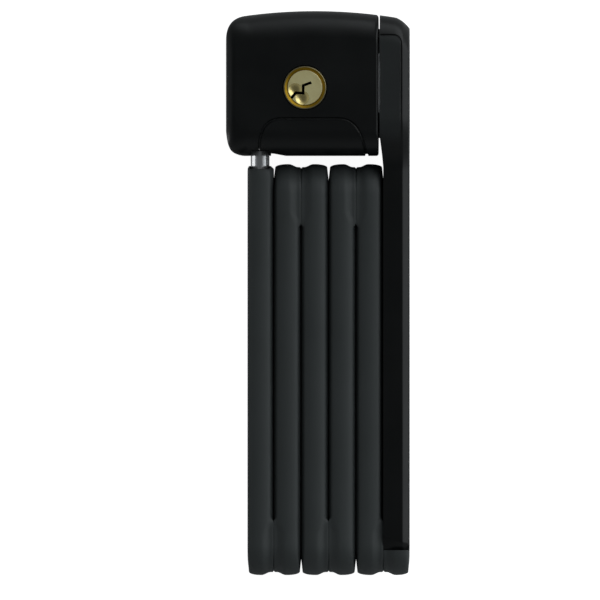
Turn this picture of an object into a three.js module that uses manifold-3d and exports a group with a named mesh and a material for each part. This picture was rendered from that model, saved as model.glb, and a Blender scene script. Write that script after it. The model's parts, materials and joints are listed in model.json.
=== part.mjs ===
// A folding bicycle lock, folded up and shut, lying on its back. Millimetres.
//
// X runs across the stack of bars, from the pin side to the arm. Y runs along the bars towards the
// head, and Z comes out of the front face, where the key goes in. The origin is on the ground under
// the middle of the folded lock. Every hinge turns about an axis along X.
//
// The steel arm on the right carries the head at its top and the first free bar at its foot. Five
// free bars are riveted on in a zigzag, and the last of them carries the locking pin.

import * as THREE from "three";
import { mergeVertices } from "three/addons/utils/BufferGeometryUtils.js";
import Module from "manifold-3d";

const wasm = await Module();
wasm.setup();

// ---------------------------------------------------------------- driving dimensions

const LENGTH = 190; // folded lock, from the foot of the bars to the crown of the head
const HALF_WIDTH = 30.8; // half of the stack across
const DEPTH = 34; // thickness of the head
const MID_Z = DEPTH / 2; // middle plane of the head and of every bar
const TOP = LENGTH / 2;
const FOOT = -LENGTH / 2;

const GAP = 0.3; // between pieces fixed to each other
const RUNNING_GAP = 0.15; // between pieces that turn on each other

// Bars: a flat steel core inside a rubber coating with a domed edge.
const FREE_BARS = 5; // numbered from the one that carries the pin
const PITCH = 9.24;
const ARM_X = 26.65; // middle plane of the arm, the sixth bar of the stack
const CORE_THICKNESS = 5;
const CORE_RADIUS = 8; // half the width of a core, and the radius of its ends
const COAT_THICKNESS = 8.25;
const COAT_RADIUS = 10;
const DOME_DEPTH = 1.6; // how far the coating's edge falls away at its two faces
const DOME_WIDTH = 3.9; // how far in from each face the dome starts
const SWELL = PITCH / 2 - 0.12; // half thickness of the coating where two bars are joined
const SWELL_LENGTH = 12; // how far the swelling runs along a bar from its hinge
const LOW_PIVOT_Y = FOOT + COAT_RADIUS;
const HIGH_PIVOT_Y = 33.5;

// Hinges between bars: a rivet with flush heads, through a spacer washer.
const RIVET_RADIUS = 3;
const RIVET_HEAD_RADIUS = 4.3;
const RIVET_HEAD_DEPTH = 1.3;
const WASHER_RADIUS = 6.5;

// Head.
const HEAD_LEFT = -HALF_WIDTH;
const HEAD_RIGHT = 20.3;
const HEAD_BOTTOM = 46.3;
const HEAD_PIVOT_Y = (TOP + HEAD_BOTTOM) / 2;
const PROFILE_RADIUS = 9; // long edges of the head, rounded so that it clears the bars as it turns
const EDGE_ROUND = 3.2; // rounding of the head's left edge
const CROWN_RADIUS = 170; // the top of the head and arm is slightly crowned
const CROWN_X = -1;
const SHELL = 2; // wall of the plastic covers
const SHOULDER = 6.8; // the crown ends this far in from the head's left side
const LEFT_LEG = 8.2; // straight part of the left side starts this far up

// The arched panel low on the head's front, and the two small breaks in the head's lower edge.
const PANEL_LEFT = -19.6;
const PANEL_RIGHT = 16.3;
const PANEL_TOP = 58.7;
const PANEL_GROOVE = 0.5;
const FLARE_X = [-16, -10.9]; // beside the pin, the lower edge is cut back on a slant
const FLARE_HEIGHT = 0.85;
const SLOT_X = [15.6, 17.1]; // at the panel's right foot
const SLOT_HEIGHT = 0.65;

// Arm.
const ARM_INNER_X = 22.35; // face beside the bars
const ARM_CAP_INNER_X = 21.2; // face beside the head
const ARM_EDGE_ROUND = 2.1;
const ARM_NECK_Y = 45; // the arm starts to widen here, up to the depth of the head
const ARM_NECK_LENGTH = 11;
const ARM_COVER_FOOT_Y = LOW_PIVOT_Y;
const ARM_FOOT_TAPER = [5, 1]; // length and depth of the cover's thinner foot
const ARM_CORNER = [4.6, 5.7]; // width and height of the rounded top corner

// Head hinge.
const PIVOT_RADIUS = 4;
const PIVOT_HEAD_RADIUS = 6.2;
const PIVOT_HEAD_DEPTH = 2;
const PIVOT_END_X = 12;
const PIVOT_DISC_RADIUS = 18.5;
const DISC_FLAT_INSET = 3.6; // the disc is cut flat this far in from the head's front and back

// Lock cylinder. Its pin chambers and keyway lie along one line through the plug's axis.
const KEY = new THREE.Vector2(-4.2, 69.15);
const KEY_LINE = THREE.MathUtils.degToRad(38.6);
const HOUSING_RADIUS = 7.35;
const PLUG_RADIUS = 5.9;
const CYLINDER_FACE_Z = DEPTH - 0.4;
const PLUG_FACE_Z = CYLINDER_FACE_Z - 0.1;
const HOUSING_BACK_Z = 10.5;
const HOUSING_CHAMFER = 0.5;
const PLUG_BACK_Z = 8.3;
const PIN_STACKS = 5;
const PIN_STACK_PITCH = 3.9;
const FIRST_STACK_Z = 28.5;
const STACK_RADIUS = 1.2;
const KEY_PIN_FOOT = 3;
const SPRING_FOOT = 9.4;
const CHAMBER_LID = 13.4;
const CHAMBER_END = 15;
const CHAMBER_HALF_WIDTH = 3.1;
const CHAMBER_BACK_Z = 10.5;
const CHAMBER_FRONT_Z = 30.6;
const LID_THICKNESS = 1.2;
const LID_INSET = 0.8;
const KEYWAY_HALF = 0.45;
const KEYWAY_PATH = [
  [2.16, 1.72],
  [-0.61, 0.71],
  [-0.61, -1.89],
  [-3.1, -1.72],
  [-5.6, -4.8],
];

// Behind the plug: its clip, its square tail and the cam.
const CLIP_Z = 9.3;
const CLIP_THICKNESS = 0.7;
const CLIP_GROOVE_RADIUS = 4.8;
const CLIP_GROOVE_PLAY = 0.15;
const CLIP_RADIUS = PLUG_RADIUS + 0.9;
const CLIP_MOUTH_HALF = 2;
const TAIL_HALF = 1.6;
const CAM_THICKNESS = 1.5;
const CAM_RADIUS = 4.8;
const CAM_Z = PLUG_BACK_Z - GAP - CAM_THICKNESS;
const TAIL_END_Z = CAM_Z + GAP;

// Latch. A quarter turn of the plug draws it 3.5 mm to the right, by a peg in an upright slot.
const LATCH_TRAVEL = 3.5;
const PEG_ORBIT = LATCH_TRAVEL / Math.SQRT2;
const PEG_RADIUS = 1.1;
const PEG_LENGTH = 2.2;
const PEG_ROOT = 0.1; // how far the peg is sunk into the cam
const PEG_PLAY = 0.25;
const LATCH_Y = 55.5;
const LATCH_HALF = 1.8;
const LATCH_HALF_DEPTH = 2.5;
const LATCH_POST = 4;
const LATCH_PLATE_HALF = 3;
const LATCH_PLATE_TOP = 5; // above the key's axis
const LATCH_SLOT = [-0.2, 4.2]; // foot and top of the slot, from the key's axis
const LATCH_PLATE_Z = 4.2;
const LATCH_PLATE_THICKNESS = 1.8;
const LATCH_TIP_X = -18.5;
const LATCH_SHOULDER_X = -6;
const LATCH_SPRING_END_X = 3;
const LATCH_SPRING_POCKET = 2.4;

// Locking pin, and the mouth that it stands in.
const LOCK_PIN_RADIUS = 3.2;
const LOCK_PIN_FOOT_Y = 40.3;
const LOCK_PIN_TIP_Y = 48.1;
const LOCK_PIN_SEAT_Y = 41.85;
const LOCK_PIN_CHAMFER = 0.8;
const TANG_RADIUS = 1.6;
const TANG_LENGTH = 8;
const MOUTH_HALF = 3.6;
const MOUTH_CLEARANCE = 0.35;
const BORE_RADIUS = 3.45;
const BORE_END_Y = 62;
const BUSH_RADIUS = 5.2;
const BUSH_BOTTOM_Y = 49.4;
const BUSH_TOP_Y = 53;

// Facets to a full circle.
const ROUND = 18;
const LARGE_ROUND = 30;
const SMALL_ROUND = 12;

const barX = (n) => ARM_X - PITCH * (FREE_BARS + 1 - n);
const crownY = (x) => TOP - (x - CROWN_X) ** 2 / (2 * CROWN_RADIUS);

// ---------------------------------------------------------------- solids

// A closed geometry as a solid that can be joined and cut.
function toSolid(geometry) {
  const bare = geometry.clone();
  bare.deleteAttribute("normal");
  bare.deleteAttribute("uv");
  const merged = mergeVertices(bare, 1e-4);
  return new wasm.Manifold(
    new wasm.Mesh({
      numProp: 3,
      vertProperties: merged.attributes.position.array,
      triVerts: new Uint32Array(merged.index.array),
    }),
  );
}

function toGeometry(solid) {
  const mesh = solid.getMesh();
  const geometry = new THREE.BufferGeometry();
  geometry.setAttribute("position", new THREE.BufferAttribute(mesh.vertProperties, 3));
  geometry.setIndex(new THREE.BufferAttribute(mesh.triVerts, 1));
  geometry.computeVertexNormals();
  return geometry;
}

function box(x0, x1, y0, y1, z0, z1) {
  const geometry = new THREE.BoxGeometry(x1 - x0, y1 - y0, z1 - z0);
  geometry.translate((x0 + x1) / 2, (y0 + y1) / 2, (z0 + z1) / 2);
  return toSolid(geometry);
}

// An outline swept in a straight line. `round` is [inset, length] of an elliptical edge at both ends.
function prism(shape, length, round, steps) {
  const [size, thickness] = round ?? [0, 0];
  const geometry = new THREE.ExtrudeGeometry(shape, {
    depth: length - 2 * thickness,
    bevelEnabled: Boolean(round),
    bevelSize: size,
    bevelOffset: -size,
    bevelThickness: thickness,
    bevelSegments: 3,
    curveSegments: steps ?? 5,
  });
  geometry.translate(0, 0, thickness);
  return geometry;
}

// An outline drawn in X and Y, swept from z0 to z1.
function alongZ(shape, z0, z1, round, steps) {
  const geometry = prism(shape, z1 - z0, round, steps);
  geometry.translate(0, 0, z0);
  return toSolid(geometry);
}

// An outline drawn in Y and Z, swept from x0 to x1.
function alongX(shape, x0, x1, round, steps) {
  const geometry = prism(shape, x1 - x0, round, steps);
  const turn = new THREE.Matrix4().makeBasis(
    new THREE.Vector3(0, 1, 0),
    new THREE.Vector3(0, 0, 1),
    new THREE.Vector3(1, 0, 0),
  );
  geometry.applyMatrix4(turn);
  geometry.translate(x0, 0, 0);
  return toSolid(geometry);
}

// A turned profile of [radius, height] pairs, standing on the origin along Y.
function lathe(profile, facets) {
  const points = profile.map(([radius, height]) => new THREE.Vector2(radius, height));
  return new THREE.LatheGeometry(points, facets ?? ROUND);
}

function cylinder(radius, height, facets) {
  return lathe([[0, 0], [radius, 0], [radius, height], [0, height]], facets);
}

function ring(inner, outer, height, facets) {
  return lathe([[inner, 0], [outer, 0], [outer, height], [inner, height], [inner, 0]], facets);
}

// Stands a turned geometry along X, with its foot at x, around the axis (y, z).
function turnedOnX(geometry, x, y, z) {
  geometry.rotateZ(-Math.PI / 2);
  geometry.translate(x, y, z);
  return toSolid(geometry);
}

function turnedOnY(geometry, x, y, z) {
  geometry.translate(x, y, z);
  return toSolid(geometry);
}

function turnedOnZ(geometry, x, y, z) {
  geometry.rotateX(Math.PI / 2);
  geometry.translate(x, y, z);
  return toSolid(geometry);
}

class Helix extends THREE.Curve {
  constructor(radius, length, turns) {
    super();
    this.radius = radius;
    this.length = length;
    this.turns = turns;
  }

  getPoint(t) {
    const angle = 2 * Math.PI * this.turns * t;
    const x = this.radius * Math.cos(angle);
    const z = this.radius * Math.sin(angle);
    return new THREE.Vector3(x, this.length * t, z);
  }
}

// A coil spring of round wire, standing on the origin along Y.
function coilSpring(radius, wire, length, turns) {
  const section = new THREE.Shape();
  section.absarc(0, 0, wire / 2, 0, 2 * Math.PI);
  const geometry = new THREE.ExtrudeGeometry(section, {
    steps: turns * 7,
    curveSegments: 3,
    bevelEnabled: false,
    extrudePath: new Helix(radius, length - wire, turns),
  });
  geometry.translate(0, wire / 2, 0);
  return geometry;
}

// ---------------------------------------------------------------- outlines

// A slot shape in Y and Z: two half circles joined by straight sides.
function stadium(low, high, radius) {
  const shape = new THREE.Shape();
  shape.absarc(high, MID_Z, radius, -Math.PI / 2, Math.PI / 2);
  shape.absarc(low, MID_Z, radius, Math.PI / 2, (3 * Math.PI) / 2);
  shape.closePath();
  return shape;
}

function roundedRectangle(low, high, back, front, radius) {
  const shape = new THREE.Shape();
  shape.absarc(high - radius, back + radius, radius, -Math.PI / 2, 0);
  shape.absarc(high - radius, front - radius, radius, 0, Math.PI / 2);
  shape.absarc(low + radius, front - radius, radius, Math.PI / 2, Math.PI);
  shape.absarc(low + radius, back + radius, radius, Math.PI, (3 * Math.PI) / 2);
  shape.closePath();
  return shape;
}

// Front view of the head. Its right side runs on past the head, which the side profile ends.
function headOutline(inset) {
  const left = HEAD_LEFT + inset;
  const bottom = HEAD_BOTTOM + inset;
  const right = HEAD_RIGHT + 2 * EDGE_ROUND;
  const shoulder = HEAD_LEFT + SHOULDER;
  const rightY = crownY(right) - inset;
  const shoulderY = crownY(shoulder) - inset;
  const middle = (right + shoulder) / 2;
  const slope = (CROWN_X - right) / CROWN_RADIUS;
  const shape = new THREE.Shape();
  shape.moveTo(left + 5.8, bottom);
  shape.lineTo(right, bottom);
  shape.lineTo(right, rightY);
  shape.quadraticCurveTo(middle, rightY + slope * (middle - right), shoulder, shoulderY);
  shape.quadraticCurveTo(left + 0.2, shoulderY - 0.8, left, shoulderY - 7.8);
  shape.lineTo(left, bottom + LEFT_LEG);
  shape.quadraticCurveTo(left + 0.3, bottom + 4.2, left + 1.2, bottom + 2.5);
  shape.quadraticCurveTo(left + 2.2, bottom + 0.3, left + 5.8, bottom);
  return shape;
}

// Front view of the arm: narrow beside the bars, a little wider beside the head.
function armOutline() {
  const shape = new THREE.Shape();
  const [cornerWidth, cornerHeight] = ARM_CORNER;
  const cornerX = HALF_WIDTH - cornerWidth;
  shape.moveTo(ARM_INNER_X, FOOT);
  shape.lineTo(HALF_WIDTH, FOOT);
  shape.lineTo(HALF_WIDTH, TOP - cornerHeight);
  shape.quadraticCurveTo(HALF_WIDTH - 1.6, TOP - 3.5, cornerX, crownY(cornerX));
  shape.lineTo(ARM_CAP_INNER_X, crownY(ARM_CAP_INNER_X));
  shape.lineTo(ARM_CAP_INNER_X, HEAD_BOTTOM + 0.6);
  shape.lineTo(ARM_INNER_X, HEAD_BOTTOM - 4.1);
  shape.closePath();
  return shape;
}

// Side view of the arm's cover: as wide as the bars, then spreading to the depth of the head.
function armProfile() {
  const shape = new THREE.Shape();
  const shoulderY = ARM_NECK_Y + ARM_NECK_LENGTH;
  const bend = ARM_NECK_LENGTH / 2;
  const [taperLength, taperDepth] = ARM_FOOT_TAPER;
  const frontZ = MID_Z + COAT_RADIUS;
  const backZ = MID_Z - COAT_RADIUS;
  shape.moveTo(ARM_COVER_FOOT_Y, backZ + taperDepth);
  shape.lineTo(ARM_COVER_FOOT_Y, frontZ - taperDepth);
  shape.lineTo(ARM_COVER_FOOT_Y + taperLength, frontZ);
  shape.lineTo(ARM_NECK_Y, frontZ);
  shape.bezierCurveTo(ARM_NECK_Y + bend, frontZ, shoulderY - bend, DEPTH, shoulderY, DEPTH);
  shape.absarc(TOP - PROFILE_RADIUS, DEPTH - PROFILE_RADIUS, PROFILE_RADIUS, Math.PI / 2, 0, true);
  shape.absarc(TOP - PROFILE_RADIUS, PROFILE_RADIUS, PROFILE_RADIUS, 0, -Math.PI / 2, true);
  shape.lineTo(shoulderY, 0);
  shape.bezierCurveTo(shoulderY - bend, 0, ARM_NECK_Y + bend, backZ, ARM_NECK_Y, backZ);
  shape.lineTo(ARM_COVER_FOOT_Y + taperLength, backZ);
  shape.closePath();
  return shape;
}

// The arched panel low on the head's front. `grow` moves its whole edge outwards.
function panelOutline(grow) {
  const left = PANEL_LEFT - grow;
  const right = PANEL_RIGHT + grow;
  const top = PANEL_TOP + grow;
  const bottom = HEAD_BOTTOM - 1;
  const shape = new THREE.Shape();
  shape.moveTo(left, bottom);
  shape.lineTo(right, bottom);
  shape.quadraticCurveTo(right - 1.1, top, right - 9.4, top);
  shape.lineTo(left + 7.6, top);
  shape.quadraticCurveTo(left + 0.4, top, left, HEAD_BOTTOM + 3);
  shape.closePath();
  return shape;
}

// ---------------------------------------------------------------- hinge hardware

// A rivet with flush countersunk heads, standing along Y from its foot.
function rivetProfile(length, grow) {
  const shank = RIVET_RADIUS + grow;
  const head = RIVET_HEAD_RADIUS + grow;
  return [
    [0, 0],
    [head, 0],
    [shank, RIVET_HEAD_DEPTH],
    [shank, length - RIVET_HEAD_DEPTH],
    [head, length],
    [0, length],
  ];
}

const hingeY = (n) => (n % 2 ? LOW_PIVOT_Y : HIGH_PIVOT_Y);

// Hinge n joins bar n to bar n + 1; hinge 5 joins bar 5 to the arm.
function hingeRivet(n, grow = 0) {
  const start = barX(n) - CORE_THICKNESS / 2;
  const length = PITCH + CORE_THICKNESS;
  return turnedOnX(lathe(rivetProfile(length, grow), ROUND), start, hingeY(n), MID_Z);
}

function hingeWasher(n) {
  const play = 0.12;
  const start = barX(n) + CORE_THICKNESS / 2 + play;
  const length = PITCH - CORE_THICKNESS - 2 * play;
  const geometry = ring(RIVET_RADIUS + RUNNING_GAP, WASHER_RADIUS, length);
  return turnedOnX(geometry, start, hingeY(n), MID_Z);
}

// The space that hinge n's washer takes out of the coatings on both sides of it.
function washerSpace(n) {
  const start = barX(n);
  return turnedOnX(cylinder(WASHER_RADIUS + GAP, PITCH), start, hingeY(n), MID_Z);
}

// ---------------------------------------------------------------- bars

// A flat steel bar in plane x, with its outline grown by `grow` all round.
function flatBar(x, low, high, grow) {
  const half = CORE_THICKNESS / 2 + grow;
  return alongX(stadium(low, high, CORE_RADIUS + grow), x - half, x + half);
}

// The hinges that bar n shares: with bar n + 1 and, except on the first bar, with bar n - 1.
const hingesOf = (n) => (n > 1 ? [n, n - 1] : [n]);

// The first bar's core is cut square at the top, where the pin is set into it.
function barCoreBlank(n, grow) {
  const blank = flatBar(barX(n), LOW_PIVOT_Y, HIGH_PIVOT_Y, grow);
  if (n > 1) return blank;
  const cutY = LOCK_PIN_FOOT_Y - GAP + grow;
  return blank.intersect(box(-HALF_WIDTH, HALF_WIDTH, FOOT, cutY, 0, DEPTH));
}

function barCore(n) {
  let core = barCoreBlank(n, 0);
  for (const hinge of hingesOf(n)) core = core.subtract(hingeRivet(hinge, RUNNING_GAP));
  if (n === 1) core = core.subtract(lockingPin(GAP));
  return core;
}

// A coating in plane x: domed all round its edge.
function coatingBlank(x, low, high) {
  const half = COAT_THICKNESS / 2;
  return alongX(stadium(low, high, COAT_RADIUS), x - half, x + half, [DOME_DEPTH, DOME_WIDTH]);
}

// The coating swells at hinge n to meet its neighbour. `side` is 1 on its right face, -1 on its left.
function swelling(x, y, side) {
  const inward = y > 0 ? -SWELL_LENGTH : SWELL_LENGTH;
  const outline = stadium(Math.min(y, y + inward), Math.max(y, y + inward), COAT_RADIUS - DOME_DEPTH);
  const root = side * (COAT_THICKNESS / 2 - 1.2);
  const face = side * SWELL;
  return alongX(outline, x + Math.min(root, face), x + Math.max(root, face));
}

function barCoating(n) {
  const x = barX(n);
  const high = n === 1 ? HIGH_PIVOT_Y - 0.3 : HIGH_PIVOT_Y;
  let coating = coatingBlank(x, LOW_PIVOT_Y, high);
  for (const hinge of hingesOf(n)) {
    coating = coating.add(swelling(x, hingeY(hinge), hinge === n ? 1 : -1));
  }
  coating = coating.subtract(barCoreBlank(n, GAP));
  for (const hinge of hingesOf(n)) coating = coating.subtract(washerSpace(hinge));
  if (n === 1) coating = coating.subtract(lockingPin(GAP)).subtract(pinSeat());
  return coating;
}

// The flat that lets the foot of the locking pin show from the front.
function pinSeat() {
  const backZ = MID_Z - LOCK_PIN_RADIUS - GAP;
  return box(barX(1) - PITCH, barX(1) + PITCH, LOCK_PIN_SEAT_Y, HEAD_BOTTOM, backZ, DEPTH);
}

// The locking pin: a chamfered stud on a thin tang that is set into the end of the first bar.
function lockingPin(grow = 0) {
  const tang = TANG_RADIUS + grow;
  const radius = LOCK_PIN_RADIUS + grow;
  const height = LOCK_PIN_TIP_Y - LOCK_PIN_FOOT_Y;
  const profile = [
    [0, -TANG_LENGTH - grow],
    [tang, -TANG_LENGTH - grow],
    [tang, -grow],
    [radius, -grow],
    [radius, height - LOCK_PIN_CHAMFER],
    [radius - LOCK_PIN_CHAMFER, height],
    [0, height],
  ];
  return turnedOnY(lathe(profile), barX(1), LOCK_PIN_FOOT_Y, MID_Z);
}

// ---------------------------------------------------------------- arm

function armCore() {
  let core = flatBar(ARM_X, LOW_PIVOT_Y, HEAD_PIVOT_Y, 0);
  core = core.subtract(hingeRivet(FREE_BARS, RUNNING_GAP));
  return core.subtract(pivotRivet(RUNNING_GAP));
}

const armCoreSpace = () => flatBar(ARM_X, LOW_PIVOT_Y, HEAD_PIVOT_Y, GAP);

function armCover() {
  const reach = EDGE_ROUND;
  const round = [ARM_EDGE_ROUND, ARM_EDGE_ROUND];
  const side = alongX(armProfile(), ARM_CAP_INNER_X - reach, HALF_WIDTH, round, 4);
  return side
    .intersect(alongZ(armOutline(), -1, DEPTH + 1))
    .subtract(armCoreSpace())
    .subtract(washerSpace(FREE_BARS))
    .subtract(pivotRivet(GAP));
}

// The rubber end of the arm, below its hard cover.
function armEndCoating() {
  const below = box(0, HALF_WIDTH, FOOT, ARM_COVER_FOOT_Y - GAP, 0, DEPTH);
  return coatingBlank(ARM_X, LOW_PIVOT_Y, HIGH_PIVOT_Y)
    .add(swelling(ARM_X, LOW_PIVOT_Y, -1))
    .intersect(below)
    .subtract(armCoreSpace())
    .subtract(washerSpace(FREE_BARS));
}

// The rivet that the head turns on: flush in the arm's core, headed inside the lock case.
function pivotRivet(grow = 0) {
  const length = ARM_X + CORE_THICKNESS / 2 - PIVOT_END_X;
  const shank = PIVOT_RADIUS + grow;
  const head = PIVOT_HEAD_RADIUS + grow;
  const profile = [
    [0, -grow],
    [head, -grow],
    [head, PIVOT_HEAD_DEPTH + grow],
    [shank, PIVOT_HEAD_DEPTH + grow],
    [shank, length - PIVOT_HEAD_DEPTH],
    [head, length],
    [0, length],
  ];
  return turnedOnX(lathe(profile), PIVOT_END_X, HEAD_PIVOT_Y, MID_Z);
}

// The friction disc between the head and the arm, cut flat at its front and back.
function pivotDisc() {
  const thickness = ARM_CAP_INNER_X - HEAD_RIGHT - 2 * RUNNING_GAP;
  const geometry = ring(PIVOT_RADIUS + RUNNING_GAP, PIVOT_DISC_RADIUS, thickness, LARGE_ROUND);
  const flats = box(0, HALF_WIDTH, 0, TOP, DISC_FLAT_INSET, DEPTH - DISC_FLAT_INSET);
  return turnedOnX(geometry, HEAD_RIGHT + RUNNING_GAP, HEAD_PIVOT_Y, MID_Z).intersect(flats);
}

// ---------------------------------------------------------------- head

// The outer form of the head, moved in by `inset` all round.
function headForm(inset) {
  const radius = PROFILE_RADIUS - inset;
  const round = Math.max(EDGE_ROUND - inset, 1);
  const profile = roundedRectangle(HEAD_BOTTOM + inset, TOP - inset, inset, DEPTH - inset, radius);
  const side = alongX(profile, HEAD_LEFT - 1, HEAD_RIGHT - inset, undefined, 3);
  const front = alongZ(headOutline(inset), inset, DEPTH - inset, [round, round], 6);
  return side.intersect(front);
}

// The way through the head's underside that the pin leaves by: straight to the front, and round the
// head's hinge to the back, so that the head can turn past the pin.
function pinMouth() {
  const left = barX(1) - MOUTH_HALF;
  const right = barX(1) + MOUTH_HALF;
  const roofY = LOCK_PIN_TIP_Y + MOUTH_CLEARANCE;
  const front = box(left, right, FOOT, roofY, MID_Z, DEPTH + 1);
  const back = box(left, right, FOOT, HEAD_PIVOT_Y, -1, MID_Z);
  const hub = cylinder(HEAD_PIVOT_Y - roofY, 4 * MOUTH_HALF, 2 * LARGE_ROUND);
  return front.add(back.subtract(turnedOnX(hub, left - MOUTH_HALF, HEAD_PIVOT_Y, MID_Z)));
}

// The breaks in the head's lower edge: a slanted flare beside the pin, and a slot at the panel's foot.
function lowerEdgeBreaks() {
  const flare = new THREE.Shape();
  flare.moveTo(FLARE_X[0], HEAD_BOTTOM - 1);
  flare.lineTo(FLARE_X[1], HEAD_BOTTOM - 1);
  flare.lineTo(FLARE_X[1], HEAD_BOTTOM);
  flare.lineTo(FLARE_X[0], HEAD_BOTTOM + FLARE_HEIGHT);
  flare.closePath();
  const slot = box(SLOT_X[0], SLOT_X[1], FOOT, HEAD_BOTTOM + SLOT_HEIGHT, -1, DEPTH + 1);
  return alongZ(flare, -1, DEPTH + 1).add(slot);
}

function headShell() {
  return headForm(0)
    .subtract(headForm(SHELL))
    .subtract(pinMouth())
    .subtract(lowerEdgeBreaks())
    .subtract(pivotRivet(GAP));
}

function headFrontCover() {
  const front = box(-LENGTH, LENGTH, 0, LENGTH, MID_Z + GAP / 2, LENGTH);
  const keyHole = cylinder(HOUSING_RADIUS + GAP, DEPTH, LARGE_ROUND);
  return headShell()
    .intersect(front)
    .subtract(turnedOnZ(keyHole, KEY.x, KEY.y, MID_Z))
    .subtract(alongZ(panelOutline(PANEL_GROOVE), MID_Z - 1, DEPTH + 1));
}

function headPanel() {
  return headShell().intersect(alongZ(panelOutline(0), MID_Z + GAP / 2, DEPTH + 1));
}

function headRearCover() {
  const back = box(-LENGTH, LENGTH, 0, LENGTH, -1, MID_Z - GAP / 2);
  return headShell().intersect(back);
}

// The steel block inside the covers, bored for the cylinder, the latch, the pin and the hinge.
function lockCase() {
  const bore = cylinder(BORE_RADIUS, BORE_END_Y - HEAD_BOTTOM);
  const bushSpace = cylinder(BUSH_RADIUS + GAP, BUSH_TOP_Y + GAP - HEAD_BOTTOM);
  return headForm(SHELL + GAP)
    .subtract(cylinderSpace())
    .subtract(latchSpace())
    .subtract(turnedOnY(bore, barX(1), HEAD_BOTTOM, MID_Z))
    .subtract(turnedOnY(bushSpace, barX(1), HEAD_BOTTOM, MID_Z))
    .subtract(pinMouth())
    .subtract(pivotRivet(GAP));
}

function pinBush() {
  const height = BUSH_TOP_Y - BUSH_BOTTOM_Y;
  return turnedOnY(ring(BORE_RADIUS, BUSH_RADIUS, height), barX(1), BUSH_BOTTOM_Y, MID_Z);
}

// ---------------------------------------------------------------- cylinder

// Turns a solid made at the origin, with the pin line along Y, into place on the key's axis.
function onKeyAxis(geometry, z) {
  geometry.rotateZ(KEY_LINE - Math.PI / 2);
  geometry.translate(KEY.x, KEY.y, z);
  return toSolid(geometry);
}

const stackZ = (i) => FIRST_STACK_Z - PIN_STACK_PITCH * i;

// A radial bore or pin in stack i, from radius `from` to radius `to`.
function stackPiece(i, radius, from, to) {
  const geometry = cylinder(radius, to - from, SMALL_ROUND);
  geometry.translate(0, from, 0);
  return onKeyAxis(geometry, stackZ(i));
}

function chamberBlock(grow) {
  const height = CHAMBER_END + grow;
  const width = 2 * (CHAMBER_HALF_WIDTH + grow);
  const depth = CHAMBER_FRONT_Z - CHAMBER_BACK_Z + 2 * grow;
  const geometry = new THREE.BoxGeometry(width, height, depth);
  geometry.translate(0, height / 2, 0);
  return onKeyAxis(geometry, (CHAMBER_FRONT_Z + CHAMBER_BACK_Z) / 2);
}

function cylinderHousing() {
  const length = CYLINDER_FACE_Z - HOUSING_BACK_Z;
  const profile = [
    [0, 0],
    [HOUSING_RADIUS, 0],
    [HOUSING_RADIUS, length - HOUSING_CHAMFER],
    [HOUSING_RADIUS - HOUSING_CHAMFER, length],
    [0, length],
  ];
  let housing = turnedOnZ(lathe(profile, LARGE_ROUND), KEY.x, KEY.y, HOUSING_BACK_Z);
  housing = housing.add(chamberBlock(0));
  const bore = cylinder(PLUG_RADIUS + RUNNING_GAP, 2 * DEPTH, LARGE_ROUND);
  housing = housing.subtract(turnedOnZ(bore, KEY.x, KEY.y, -DEPTH / 2));
  for (let i = 0; i < PIN_STACKS; i++) {
    housing = housing.subtract(stackPiece(i, STACK_RADIUS + RUNNING_GAP, KEY_PIN_FOOT, CHAMBER_LID));
  }
  return housing.subtract(chamberLid(GAP));
}

// The strip that closes the tops of the pin chambers.
function chamberLid(grow = 0) {
  const width = 2 * (CHAMBER_HALF_WIDTH - LID_INSET + grow);
  const thickness = LID_THICKNESS + 2 * grow;
  const depth = CHAMBER_FRONT_Z - CHAMBER_BACK_Z + 2 * (grow - LID_INSET);
  const geometry = new THREE.BoxGeometry(width, thickness, depth);
  geometry.translate(0, CHAMBER_LID + GAP + LID_THICKNESS / 2, 0);
  return onKeyAxis(geometry, (CHAMBER_FRONT_Z + CHAMBER_BACK_Z) / 2);
}

// The stepped keyway, open at the plug's edge away from the pins.
function keyway() {
  let slot;
  for (let i = 1; i < KEYWAY_PATH.length; i++) {
    const from = new THREE.Vector2(...KEYWAY_PATH[i - 1]);
    const to = new THREE.Vector2(...KEYWAY_PATH[i]);
    const run = to.clone().sub(from);
    const length = run.length() + KEYWAY_HALF;
    const geometry = new THREE.BoxGeometry(length, 2 * KEYWAY_HALF, DEPTH);
    geometry.rotateZ(run.angle());
    geometry.translate((from.x + to.x) / 2, (from.y + to.y) / 2, DEPTH / 2);
    geometry.translate(KEY.x, KEY.y, HOUSING_BACK_Z);
    const piece = toSolid(geometry);
    slot = slot ? slot.add(piece) : piece;
  }
  return slot;
}

// A square bar on the key's axis.
function keySquare(half, z0, z1) {
  return box(KEY.x - half, KEY.x + half, KEY.y - half, KEY.y + half, z0, z1);
}

function cylinderPlug() {
  const grooveBack = CLIP_Z - CLIP_GROOVE_PLAY - PLUG_BACK_Z;
  const grooveFront = CLIP_Z + CLIP_THICKNESS + CLIP_GROOVE_PLAY - PLUG_BACK_Z;
  const length = PLUG_FACE_Z - PLUG_BACK_Z;
  const profile = [
    [0, 0],
    [PLUG_RADIUS, 0],
    [PLUG_RADIUS, grooveBack],
    [CLIP_GROOVE_RADIUS, grooveBack],
    [CLIP_GROOVE_RADIUS, grooveFront],
    [PLUG_RADIUS, grooveFront],
    [PLUG_RADIUS, length],
    [0, length],
  ];
  let plug = turnedOnZ(lathe(profile, LARGE_ROUND), KEY.x, KEY.y, PLUG_BACK_Z);
  plug = plug.add(keySquare(TAIL_HALF, TAIL_END_Z, PLUG_BACK_Z + 1)).subtract(keyway());
  for (let i = 0; i < PIN_STACKS; i++) {
    plug = plug.subtract(stackPiece(i, STACK_RADIUS + RUNNING_GAP, 1.5, PLUG_RADIUS + 1));
  }
  return plug;
}

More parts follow.
